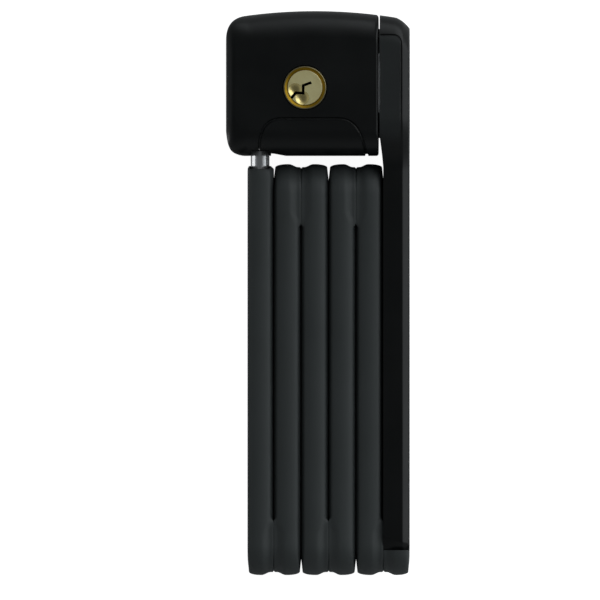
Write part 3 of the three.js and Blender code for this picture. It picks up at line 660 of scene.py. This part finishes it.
def make_bar_skin(n):
    x = bar_x(n)
    joints = joints_of(n)
    name = f"bar_{n}_skin"
    if n > 1:
        return hollow(coating(name, x, joints, {-1: SEAM_HALF, 1: SEAM_HALF}), x, joints)
    skin = coating(name, x, joints, {-1: FREE_HALF, 1: SEAM_HALF}, HIGH_PIVOT_Y - GAP, True)
    core_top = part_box("bar_1_core")[1].y + GAP
    hollow(skin, x, joints, core_top)
    reach = PIN_RADIUS + GAP
    boolean(skin, turned("bore", [(reach, 0), (reach, 0.02)], "y", (x, core_top - 1 * MM, MID_Z), 48))
    seat = block("seat", (x - reach, PIN_SEAT_Y, MID_Z - reach), (x + reach, PIN_HIGH.y, 2 * DEPTH))
    return boolean(skin, seat)


def make_arm_end():
    """The rubber end of the arm, below its hard cover."""
    x = middle("arm_core").x
    joints = [(LOW_PIVOT_Y, -1)]
    skin = coating("arm_end_skin", x, joints, {-1: FREE_HALF, 1: FREE_HALF})
    top = ARM_FOOT_Y - 0.03 * MM
    boolean(skin, block("keep", (-0.1, -0.2, -0.1), (0.1, top, 0.1)), "INTERSECT")
    return hollow(skin, x, joints)


# ---------------------------------------------------------------- arm


def arm_top(x):
    """The top of the arm: crowned like the head, then cut off at a slant."""
    corner = ARM_HIGH.x - 4.6 * MM
    if x <= corner:
        return crown_y(x)
    t = (x - corner) / (ARM_HIGH.x - corner)
    start, knee, end = crown_y(corner), crown_y(corner) - 0.7 * MM, ARM_HIGH.y - 4.3 * MM
    return (1 - t) ** 2 * start + 2 * t * (1 - t) * knee + t * t * end


def arm_profile(x):
    """Side view of the arm's hard cover at x, as (y, half depth) pairs from its foot to its top."""
    top = arm_top(x)
    spread = ARM_SHOULDER_Y - ARM_NECK_Y
    narrow, wide = COAT_RADIUS, DEPTH / 2
    across = (x - ARM_INNER_X) / (ARM_HIGH.x - ARM_INNER_X)
    bevel = (5 - 2.6 * across) * MM
    pairs = []
    for i in range(9):
        pairs.append((ARM_FOOT_Y + bevel * i / 8, narrow - ARM_BEVEL_DEPTH * (1 - i / 8) ** 1.2))
    pairs += line(pairs[-1], (ARM_NECK_Y, narrow), 40)
    for i in range(1, 17):
        t = i / 16
        pairs.append((ARM_NECK_Y + spread * t, narrow + (wide - narrow) * float(ease(t))))
    pairs += line(pairs[-1], (top - PROFILE_RADIUS, wide), 24)
    for i in range(1, 21):
        a = math.pi / 2 * i / 20
        y = top - PROFILE_RADIUS + PROFILE_RADIUS * math.sin(a)
        pairs.append((y, wide - PROFILE_RADIUS + PROFILE_RADIUS * math.cos(a)))
    return pairs


def arm_form():
    """The arm's hard cover: a bar that spreads to the head's depth, with a flat chamfer outside."""
    outer = ARM_HIGH.x
    run = outer - ARM_CHAMFER_X
    stations = [(x, 0.0) for x in np.linspace(ARM_INNER_X, ARM_CHAMFER_X - 0.25 * MM, 14)]
    stations.append((ARM_CHAMFER_X, 0.05 * MM))
    for t in (0.12, 0.4, 0.7, 0.86):
        stations.append((ARM_CHAMFER_X + run * t, ARM_CHAMFER_DEPTH * t))
    stations.append((outer - 0.12 * MM, ARM_CHAMFER_DEPTH + 0.08 * MM))
    stations.append((outer, ARM_CHAMFER_DEPTH + 0.45 * MM))
    rings = []
    for x, loss in stations:
        least = min(CORE_RADIUS + 0.25 * MM, COAT_RADIUS - loss)
        pairs = [(y, max(h - loss, least)) for y, h in arm_profile(x)]
        ring = [(x, y, MID_Z + h) for y, h in pairs]
        ring += [(x, y, MID_Z - h) for y, h in reversed(pairs)]
        rings.append(ring)
    return loft("arm_shell", rings)


def plate_edge():
    """The line round the front plate of the arm's cap."""
    left, right = ARM_INNER_X - 1 * MM, PLATE_RIGHT
    points = [(left, PLATE_TOP)] + line((left, PLATE_TOP), (right - 3 * MM, PLATE_TOP), 8)
    points += bezier(points[-1], (right, PLATE_TOP), (right, PLATE_TOP - 3 * MM), 8)
    return points + line(points[-1], (right, PLATE_FOOT), 24)


def plate_groove(shell):
    """A rod along the plate's edge, which rises out of the surface at its lower end."""
    path = surface_path(shell, plate_edge(), 2 * DEPTH)
    fade = 12
    for i in range(fade):
        path[i - fade].z += 0.5 * MM * (i + 1) / fade
    return rod("plate_groove", path, PLATE_GROOVE)


def disc_space():
    """The recess in the arm that the friction disc sits in."""
    low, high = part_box("head_pivot_disc")
    radius = (high.y - low.y) / 2 + 0.1 * MM
    profile = [(radius, 0), (radius, high.x - low.x + 0.02 * MM)]
    return turned("disc_space", profile, "x", (low.x, PIVOT_Y, MID_Z), 180)


def bars_space():
    """What the arm's cover leaves out on its inner side, so that the folded bars lie beside it."""
    step_y = HEAD_LOW.y + 6.5 * MM
    outline = [
        (0.0, step_y),
        (ARM_INNER_X, step_y),
        (ARM_INNER_X + 0.8 * MM, HEAD_LOW.y),
        (ARM_BAR_SIDE_X, HEAD_LOW.y - 4.1 * MM),
        (ARM_BAR_SIDE_X, -0.2),
        (0.0, -0.2),
    ]
    return loft("bars_space", [[(x, y, z) for x, y in outline] for z in (-0.1, 0.1)])


def make_arm():
    """The arm's hard cover with everything cut out of it."""
    x = middle("arm_core").x
    shell = arm_form()
    boolean(shell, plate_groove(shell))
    boolean(shell, disc_space())
    boolean(shell, bars_space())
    boolean(shell, core_space("core_space", x, LOW_PIVOT_Y, PIVOT_Y, room=0.02 * MM))
    boolean(shell, washer_space("washer_space", x - PITCH / 2, LOW_PIVOT_Y))
    hole = [(RIVET_HOLE, -0.01), (RIVET_HOLE, 0)]
    return boolean(shell, turned("pivot_hole", hole, "x", (x, PIVOT_Y, MID_Z)))


# ---------------------------------------------------------------- cylinder and pin


def hidden_part(node, front):
    """The part of a CAD node behind a plane across Z, as an object of its own."""
    source = frame["nodes"][node]
    mesh = source.data.copy()
    mesh.transform(source.matrix_world)
    part = bpy.data.objects.new(f"{node}_back", mesh)
    bpy.context.scene.collection.objects.link(part)
    return boolean(part, half_space("behind", -0.05, front), "INTERSECT")


def make_housing():
    """The brass housing: the visible ring, with a bright chamfer and a dished inner edge."""
    radius = HOUSING_RADIUS
    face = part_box("cylinder_housing")[1].z
    bore = PLUG_RADIUS + 0.06 * MM
    length = CYLINDER_FRONT
    outer = [
        (bore, -length),
        (radius, -length),
        (radius, -0.45 * MM),
        (radius - 0.12 * MM, -0.12 * MM),
        (radius - 0.45 * MM, 0),
        (radius - 0.6 * MM, -0.02 * MM),
        (radius - 0.75 * MM, -0.25 * MM),
        (bore + 0.08 * MM, -0.34 * MM),
        (bore, -0.42 * MM),
    ]
    front = ring_solid("cylinder_ring", outer, (KEY.x, KEY.y, face))
    return boolean(front, hidden_part("cylinder_housing", face - length + 0.03 * MM), "UNION")


def ring_solid(name, profile, centre, facets=120):
    """A closed turned ring about Z, through (radius, height) pairs that don't reach the axis."""
    points, faces = [], []
    count = len(profile)
    x, y, z = centre
    for i in range(facets):
        a = 2 * math.pi * i / facets
        for radius, height in profile:
            points.append((x + radius * math.cos(a), y + radius * math.sin(a), z + height))
    for i in range(facets):
        j = (i + 1) % facets
        for k in range(count):
            m = (k + 1) % count
            faces.append((i * count + k, j * count + k, j * count + m, i * count + m))
    return mesh_object(name, points, faces)


def keyway_cutter(depth, half):
    """A stepped slot of even width along a bent path across the plug, its points in millimetres."""
    path = [(2.16, 1.72), (-0.61, 0.71), (-0.61, -1.89), (-3.1, -1.72), (-5.6, -4.8)]
    left, right = [], []
    flat = [Vector((x * MM, y * MM)) for x, y in path]
    for i, p in enumerate(flat):
        before = (p - flat[i - 1]).normalized() if i else (flat[1] - p).normalized()
        after = (flat[i + 1] - p).normalized() if i < len(flat) - 1 else before
        normal = Vector((-(before.y + after.y), before.x + after.x)).normalized()
        reach = half / max(normal.dot(Vector((-before.y, before.x))), 0.3)
        left.append(p + normal * reach)
        right.append(p - normal * reach)
    outline = left + list(reversed(right))
    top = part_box("cylinder_plug")[1].z + 1 * MM
    heights = (top - depth, top)
    return loft("keyway", [[(KEY.x + p.x, KEY.y + p.y, z) for p in outline] for z in heights])


def scoop_ball(x, y, z):
    """A ball that hollows out one scoop of the keyway's lead-in."""
    profile = []
    for i in range(1, 48):
        a = math.pi * i / 48
        profile.append((SCOOP_RADIUS * math.sin(a), -SCOOP_RADIUS * math.cos(a)))
    return turned("scoop", profile, "z", (x, y, z), 96)


def make_plug():
    """The plug's face: a matt disc with a stepped keyway and a scooped lead-in."""
    radius = PLUG_RADIUS
    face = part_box("cylinder_plug")[1].z
    profile = [
        (radius, -CYLINDER_FRONT),
        (radius, -0.16 * MM),
        (radius - 0.05 * MM, -0.05 * MM),
        (radius - 0.16 * MM, 0),
    ]
    plug = turned("plug_face", profile, "z", (KEY.x, KEY.y, face), 120)
    for x, y in SCOOP_PLACES:
        boolean(plug, scoop_ball(KEY.x + x, KEY.y + y, face + SCOOP_RADIUS - SCOOP_SINK))
    boolean(plug, keyway_cutter(KEYWAY_DEPTH, KEYWAY_HALF))
    return boolean(plug, hidden_part("cylinder_plug", face - CYLINDER_FRONT + 0.03 * MM), "UNION")


def make_disc():
    """The friction disc between the head and the arm, cut flat at the front and the back."""
    low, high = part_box("head_pivot_disc")
    radius = (high.y - low.y) / 2
    width = high.x - low.x
    profile = [(RIVET_HOLE, 0), (radius, 0), (radius, width), (RIVET_HOLE, width)]
    rings = []
    for i in range(180):
        a = 2 * math.pi * i / 180
        ring = []
        for reach, along in profile:
            z = max(-DISC_FLAT, min(DISC_FLAT, reach * math.sin(a)))
            ring.append((low.x + along, PIVOT_Y + reach * math.cos(a), MID_Z + z))
        rings.append(ring)
    points = [p for ring in rings for p in ring]
    faces = ring_faces(len(rings), 4)
    last = len(points) - 4
    faces += [(last + k, last + (k + 1) % 4, (k + 1) % 4, k) for k in range(4)]
    return mesh_object("pivot_disc", points, faces)


def make_pin():
    """The locking pin: a polished stud with a rounded shoulder and a chamfered tip."""
    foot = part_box("bar_1_core")[1].y + GAP
    r = PIN_RADIUS
    height = PIN_HIGH.y - foot
    profile = [(r - 0.2 * MM, 0), (r, 0.2 * MM), (r, height - 0.3 * MM), (r - 0.3 * MM, height)]
    return turned("pin_stud", profile, "y", (PIN_X, foot, MID_Z), 96)


# ---------------------------------------------------------------- materials


class Nodes:
    """A short way to write a node tree for a material or the world."""

    def __init__(self, owner, place):
        owner.use_nodes = True
        self.tree = owner.node_tree
        self.place = self.add("ShaderNodeTexCoord").outputs[place]

    def add(self, kind, **values):
        node = self.tree.nodes.new(kind)
        for key, value in values.items():
            setattr(node, key, value)
        return node

    def link(self, source, target):
        self.tree.links.new(source, target)

    def stretch(self, scale):
        mapping = self.add("ShaderNodeMapping")
        mapping.inputs["Scale"].default_value = scale
        self.link(self.place, mapping.inputs["Vector"])
        return mapping.outputs["Vector"]

    def noise(self, scale, detail=3, roughness=0.5, vector=None):
        node = self.add("ShaderNodeTexNoise")
        node.inputs["Scale"].default_value = scale
        node.inputs["Detail"].default_value = detail
        node.inputs["Roughness"].default_value = roughness
        self.link(vector or self.place, node.inputs["Vector"])
        return node.outputs["Fac"]

    def spread(self, value, low, high, from_low=0.3, from_high=0.7, kind="LINEAR"):
        node = self.add("ShaderNodeMapRange", interpolation_type=kind)
        node.inputs["From Min"].default_value = from_low
        node.inputs["From Max"].default_value = from_high
        node.inputs["To Min"].default_value = low
        node.inputs["To Max"].default_value = high
        self.link(value, node.inputs["Value"])
        return node.outputs["Result"]

    def tint(self, value, dark, light, from_low=0.3, from_high=0.7):
        ramp = self.add("ShaderNodeValToRGB")
        ramp.color_ramp.elements[0].position = from_low
        ramp.color_ramp.elements[0].color = (*dark, 1)
        ramp.color_ramp.elements[1].position = from_high
        ramp.color_ramp.elements[1].color = (*light, 1)
        self.link(value, ramp.inputs["Fac"])
        return ramp.outputs["Color"]

    def maths(self, operation, a, b):
        node = self.add("ShaderNodeMath", operation=operation)
        for socket, value in zip(node.inputs, (a, b)):
            if isinstance(value, (int, float)):
                socket.default_value = value
            else:
                self.link(value, socket)
        return node.outputs["Value"]

    def bump(self, height, distance, strength, below=None):
        node = self.add("ShaderNodeBump")
        node.inputs["Distance"].default_value = distance
        node.inputs["Strength"].default_value = strength
        self.link(height, node.inputs["Height"])
        if below is not None:
            self.link(below, node.inputs["Normal"])
        return node.outputs["Normal"]


def new_material(name):
    material = bpy.data.materials.new(name)
    nodes = Nodes(material, "Object")
    nodes.shader = nodes.tree.nodes["Principled BSDF"]
    return material, nodes


def plastic():
    """Near-black moulded plastic: a fine spark-eroded grain, slightly uneven gloss."""
    material, n = new_material("cover_plastic")
    grain = n.noise(5200, 2)
    cloud = n.noise(60, 3)
    n.link(n.tint(cloud, (0.003, 0.0038, 0.004), (0.0045, 0.0056, 0.0058)), n.shader.inputs["Base Color"])
    n.link(n.spread(cloud, 0.3, 0.38), n.shader.inputs["Roughness"])
    n.link(n.bump(grain, 0.02 * MM, 0.25), n.shader.inputs["Normal"])
    n.shader.inputs["IOR"].default_value = 1.47
    return material


def arm_plastic():
    """The cover's plastic, with a duller, slightly paler texture on the arm's front plate."""
    material, n = new_material("arm_plastic")
    split = n.add("ShaderNodeSeparateXYZ")
    n.link(n.place, split.inputs["Vector"])
    inside = n.spread(split.outputs["X"], 1, 0, PLATE_RIGHT - 0.3 * MM, PLATE_RIGHT)
    above = n.spread(split.outputs["Y"], 0, 1, PLATE_FOOT - 3 * MM, PLATE_FOOT + 3 * MM, "SMOOTHSTEP")
    below = n.spread(split.outputs["Y"], 1, 0, PLATE_TOP - 0.4 * MM, PLATE_TOP)
    plate = n.maths("MULTIPLY", n.maths("MULTIPLY", inside, above), below)
    grain = n.noise(4200, 2)
    cloud = n.noise(60, 3)
    colour = n.tint(plate, (0.0034, 0.0042, 0.0044), (0.021, 0.0245, 0.025), 0, 1)
    n.link(colour, n.shader.inputs["Base Color"])
    gloss = n.spread(cloud, 0.29, 0.36)
    n.link(n.maths("ADD", gloss, n.maths("MULTIPLY", plate, 0.2)), n.shader.inputs["Roughness"])
    n.link(n.bump(grain, 0.025 * MM, 0.3), n.shader.inputs["Normal"])
    n.shader.inputs["IOR"].default_value = 1.47
    return material


def rubber():
    """Dark grey soft coating: a dull, slightly mottled skin with fine grain and faint long scuffs."""
    material, n = new_material("bar_rubber")
    grain = n.noise(3800, 3, 0.6)
    scuff = n.noise(90, 4, 0.6, n.stretch((9, 0.6, 9)))
    cloud = n.noise(35, 3)
    n.link(n.tint(cloud, (0.05, 0.057, 0.0575), (0.058, 0.066, 0.067)), n.shader.inputs["Base Color"])
    n.link(n.spread(scuff, 0.5, 0.62), n.shader.inputs["Roughness"])
    fine = n.bump(grain, 0.03 * MM, 0.3)
    n.link(n.bump(scuff, 0.03 * MM, 0.12, fine), n.shader.inputs["Normal"])
    n.shader.inputs["IOR"].default_value = 1.45
    return material


def metal(name, dark, light, rough, scale, stretch, depth, metallic=1.0):
    """A metal with a grain: fine lines along one way, cloudy colour and uneven polish."""
    material, n = new_material(name)
    lines = n.noise(scale, 3, 0.6, n.stretch(stretch))
    cloud = n.noise(220, 3)
    n.link(n.tint(cloud, dark, light), n.shader.inputs["Base Color"])
    n.link(n.spread(lines, *rough), n.shader.inputs["Roughness"])
    n.link(n.bump(lines, depth * MM, 0.4), n.shader.inputs["Normal"])
    n.shader.inputs["Metallic"].default_value = metallic
    return material


def ring_brass():
    """The housing's brass: deep gold in the dished ring, paler round its outer edge."""
    material, n = new_material("ring_brass")
    place = n.add("ShaderNodeVectorMath", operation="SUBTRACT")
    n.link(n.place, place.inputs[0])
    place.inputs[1].default_value = (KEY.x, KEY.y, 0)
    split = n.add("ShaderNodeSeparateXYZ")
    n.link(place.outputs["Vector"], split.inputs["Vector"])
    across = n.maths("POWER", n.maths("ABSOLUTE", split.outputs["X"], 0), 2)
    along = n.maths("POWER", n.maths("ABSOLUTE", split.outputs["Y"], 0), 2)
    radius = n.maths("SQRT", n.maths("ADD", across, along), 0)
    # Paler beyond this radius from the key's axis.
    paler_zone = n.spread(radius, 0, 1, PALE_EDGE_RADIUS, PALE_EDGE_RADIUS + 0.15 * MM)
    lines = n.noise(2500, 3, 0.6)
    n.link(n.tint(paler_zone, (0.36, 0.215, 0.012), (0.62, 0.55, 0.32), 0, 1), n.shader.inputs["Base Color"])
    n.link(n.spread(lines, 0.28, 0.4), n.shader.inputs["Roughness"])
    n.link(n.bump(lines, 0.004 * MM, 0.4), n.shader.inputs["Normal"])
    n.shader.inputs["Metallic"].default_value = 0.85
    return material


def plug_brass():
    """The plug's brass: a matt pale face, polished bright where the lead-in is scooped out, with painted
    shade darkening the keyway.
    """
    material, n = new_material("plug_brass")
    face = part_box("cylinder_plug")[1].z
    split = n.add("ShaderNodeSeparateXYZ")
    n.link(n.place, split.inputs["Vector"])
    below = n.maths("SUBTRACT", face, split.outputs["Z"])
    scooped = n.spread(below, 0, 1, 0.03 * MM, 0.12 * MM)
    deep = n.spread(below, 1, 0.1, 0.8 * MM, 1.4 * MM)
    grain = n.noise(4200, 3, 0.6)
    bright = n.maths("MULTIPLY", scooped, deep)
    face_colour = n.tint(n.noise(220, 3), (0.9, 0.79, 0.38), (0.98, 0.89, 0.47))
    # Painted shade: the scoops' colour darkens to near-black deeper than 0.8 mm, down in the keyway.
    scoop_colour_keyway_shade = n.tint(deep, (0.03, 0.02, 0.005), (0.95, 0.78, 0.33), 0.2, 1)
    mix = n.add("ShaderNodeMix", data_type="RGBA")
    n.link(scooped, mix.inputs["Factor"])
    n.link(face_colour, mix.inputs["A"])
    n.link(scoop_colour_keyway_shade, mix.inputs["B"])
    n.link(mix.outputs["Result"], n.shader.inputs["Base Color"])
    polish = n.maths("MULTIPLY", bright, -0.14)
    n.link(n.maths("ADD", n.spread(grain, 0.32, 0.42), polish), n.shader.inputs["Roughness"])
    n.link(n.spread(bright, 0.3, 0.95, 0, 1), n.shader.inputs["Metallic"])
    n.link(n.bump(grain, 0.006 * MM, 0.4), n.shader.inputs["Normal"])
    return material


def disc_steel():
    """The friction disc: painted near-black round its rim as shade, and painted pale on the flats at its
    front and back as light in the slit.
    """
    material, n = new_material("disc_steel")
    split = n.add("ShaderNodeSeparateXYZ")
    n.link(n.place, split.inputs["Vector"])
    height = n.maths("ABSOLUTE", n.maths("SUBTRACT", split.outputs["Z"], MID_Z), 0)
    # Painted light: the flats are painted pale as the lit line in the slit, and the rim near-black as the
    # slit's shade.
    on_flats = n.spread(height, 0, 1, DISC_FLAT - 0.3 * MM, DISC_FLAT - 0.1 * MM)
    lines = n.noise(1500, 3, 0.6, n.stretch((1, 0.1, 1)))
    paler_zone = n.maths("MULTIPLY", on_flats, n.spread(lines, 0.8, 1))
    n.link(n.tint(paler_zone, (0.006, 0.007, 0.007), (0.93, 0.95, 0.96), 0, 1), n.shader.inputs["Base Color"])
    n.link(n.spread(lines, 0.35, 0.5), n.shader.inputs["Roughness"])
    n.link(n.bump(lines, 0.005 * MM, 0.3), n.shader.inputs["Normal"])
    n.shader.inputs["Metallic"].default_value = 0.4
    return material


def materials():
    white, grey, dull = (0.95, 0.96, 0.97), (0.5, 0.51, 0.52), (0.3, 0.31, 0.32)
    even, along = (1, 1, 1), (1, 0.1, 1)
    return {
        "cover_plastic": plastic(),
        "arm_plastic": arm_plastic(),
        "disc_steel": disc_steel(),
        "bar_rubber": rubber(),
        "polished_steel": metal(
            "polished_steel", (0.9, 0.91, 0.93), white, (0.09, 0.17), 900, (0.2, 8, 0.2), 0.002, 0.55
        ),
        "plated_steel": metal("plated_steel", (0.38, 0.39, 0.4), grey, (0.3, 0.42), 1500, along, 0.01),
        "case_steel": metal("case_steel", (0.2, 0.21, 0.22), dull, (0.4, 0.55), 900, along, 0.01),
        "spring_steel": metal("spring_steel", (0.45, 0.46, 0.47), grey, (0.2, 0.3), 900, even, 0.004),
        "brass": metal("brass", (0.46, 0.3, 0.06), (0.6, 0.42, 0.11), (0.26, 0.38), 2500, even, 0.004, 0.9),
        "ring_brass": ring_brass(),
        "plug_brass": plug_brass(),
    }


# ---------------------------------------------------------------- assembly


def body_of(node):
    for body, members in frame["record"]["behaviour"]["bodies"].items():
        if node in members:
            return body
    raise KeyError(node)


def finish_piece(obj, material, nodes, angle=30):
    obj.data.materials.clear()
    obj.data.materials.append(material)
    for polygon in obj.data.polygons:
        polygon.material_index = 0
    smooth(obj, angle)
    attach(obj, body_of(nodes[0]))
    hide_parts(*nodes)


def dress_cad_nodes(looks):
    """Gives every node of the frame its slot's material."""
    slots = {entry["node"]: entry["material_slot"] for entry in frame["record"]["subparts"]}
    for node, obj in frame["nodes"].items():
        obj.data.materials.clear()
        obj.data.materials.append(looks[slots[node]])
        for polygon in obj.data.polygons:
            polygon.material_index = 0


def build(looks):
    front, rear, panel = make_head()
    finish_piece(front, looks["cover_plastic"], ["head_front_cover"])
    finish_piece(rear, looks["cover_plastic"], ["head_rear_cover"])
    finish_piece(panel, looks["cover_plastic"], ["head_panel"])
    finish_piece(make_arm(), looks["arm_plastic"], ["arm_cover"])
    finish_piece(make_arm_end(), looks["bar_rubber"], ["arm_end_coating"], 40)
    for n in range(1, FREE_BARS + 1):
        finish_piece(make_bar_skin(n), looks["bar_rubber"], [f"bar_{n}_coating"], 40)
    finish_piece(make_pin(), looks["polished_steel"], ["locking_pin"])
    finish_piece(make_disc(), looks["disc_steel"], ["head_pivot_disc"])
    finish_piece(make_housing(), looks["ring_brass"], ["cylinder_housing"], 50)
    finish_piece(make_plug(), looks["plug_brass"], ["cylinder_plug"])


# ---------------------------------------------------------------- stage, lights, camera


def make_floor():
    """A pale floor that glows a little for the camera alone, so that shadows on it stay faint."""
    size = 4.0
    floor = block("floor", (-size, -size, -0.02), (size, size, HEAD_BACK - 0.2 * MM))
    material, n = new_material("floor_white")
    n.link(n.tint(n.noise(3, 2), (0.78, 0.78, 0.78), (0.8, 0.8, 0.8)), n.shader.inputs["Base Color"])
    n.shader.inputs["Roughness"].default_value = 0.9
    n.shader.inputs["Specular IOR Level"].default_value = 0.1
    n.shader.inputs["Emission Color"].default_value = (1, 1, 1, 1)
    seen = n.add("ShaderNodeLightPath").outputs["Is Camera Ray"]
    n.link(n.maths("MULTIPLY", seen, FLOOR_GLOW), n.shader.inputs["Emission Strength"])
    floor.data.materials.append(material)


def area_light(name, place, size, radiance, target=(0, 0, 0)):
    data = bpy.data.lights.new(name, "AREA")
    data.shape = "RECTANGLE"
    data.size, data.size_y = size
    data.energy = radiance * math.pi * size[0] * size[1]
    light = bpy.data.objects.new(name, data)
    bpy.context.scene.collection.objects.link(light)
    light.location = place
    light.rotation_euler = (Vector(target) - Vector(place)).to_track_quat("-Z", "Y").to_euler()


def make_world():
    """Soft walls of light low around the lock, brightest to the right and top, and dark overhead."""
    world = bpy.data.worlds.new("studio")
    bpy.context.scene.world = world
    n = Nodes(world, "Generated")
    level = AMBIENT
    for towards, low, high, strength in WALLS:
        dot = n.add("ShaderNodeVectorMath", operation="DOT_PRODUCT")
        n.link(n.place, dot.inputs[0])
        dot.inputs[1].default_value = towards
        wall = n.spread(dot.outputs["Value"], 0, strength, low, high, "SMOOTHSTEP")
        level = n.maths("ADD", wall, level)
    split = n.add("ShaderNodeSeparateXYZ")
    n.link(n.place, split.inputs["Vector"])
    overhead = n.spread(split.outputs["Z"], 1, OVERHEAD, 0.45, 0.92, "SMOOTHSTEP")
    level = n.maths("MULTIPLY", level, overhead)
    seen = n.add("ShaderNodeLightPath").outputs["Is Camera Ray"]
    level = n.maths("MAXIMUM", level, n.maths("MULTIPLY", seen, BACKDROP))
    background = n.tree.nodes["Background"]
    background.inputs["Color"].default_value = (0.93, 0.98, 1, 1)
    n.link(level, background.inputs["Strength"])


def make_lights():
    """The world's soft light, a large light high on the right, and a strip for the pin's bright side."""
    make_world()
    area_light("key", (0.75, 0.55, 0.95), (0.9, 0.6), 0.9)
    area_light("pin_strip", STRIP_PLACE, STRIP_SIZE, 1.2, (0, *STRIP_PLACE[1:]))


def make_camera():
    """Down on the lock from far away and slightly from the right, the head at the top of the view."""
    data = bpy.data.cameras.new("camera")
    data.sensor_width = SENSOR
    data.lens = SENSOR * CAMERA_DISTANCE / VIEW_WIDTH
    data.clip_end = 50
    camera = bpy.data.objects.new("camera", data)
    bpy.context.scene.collection.objects.link(camera)
    camera.location = (VIEW_CENTRE[0] + CAMERA_ASIDE, VIEW_CENTRE[1], MID_Z + CAMERA_DISTANCE)
    camera.rotation_euler = (0, math.atan2(CAMERA_ASIDE, CAMERA_DISTANCE), 0)
    bpy.context.scene.camera = camera
    bpy.context.scene.view_settings.view_transform = "Standard"


looks = materials()
dress_cad_nodes(looks)
build(looks)
make_floor()
make_lights()
make_camera()

bpy.context.view_layer.update()
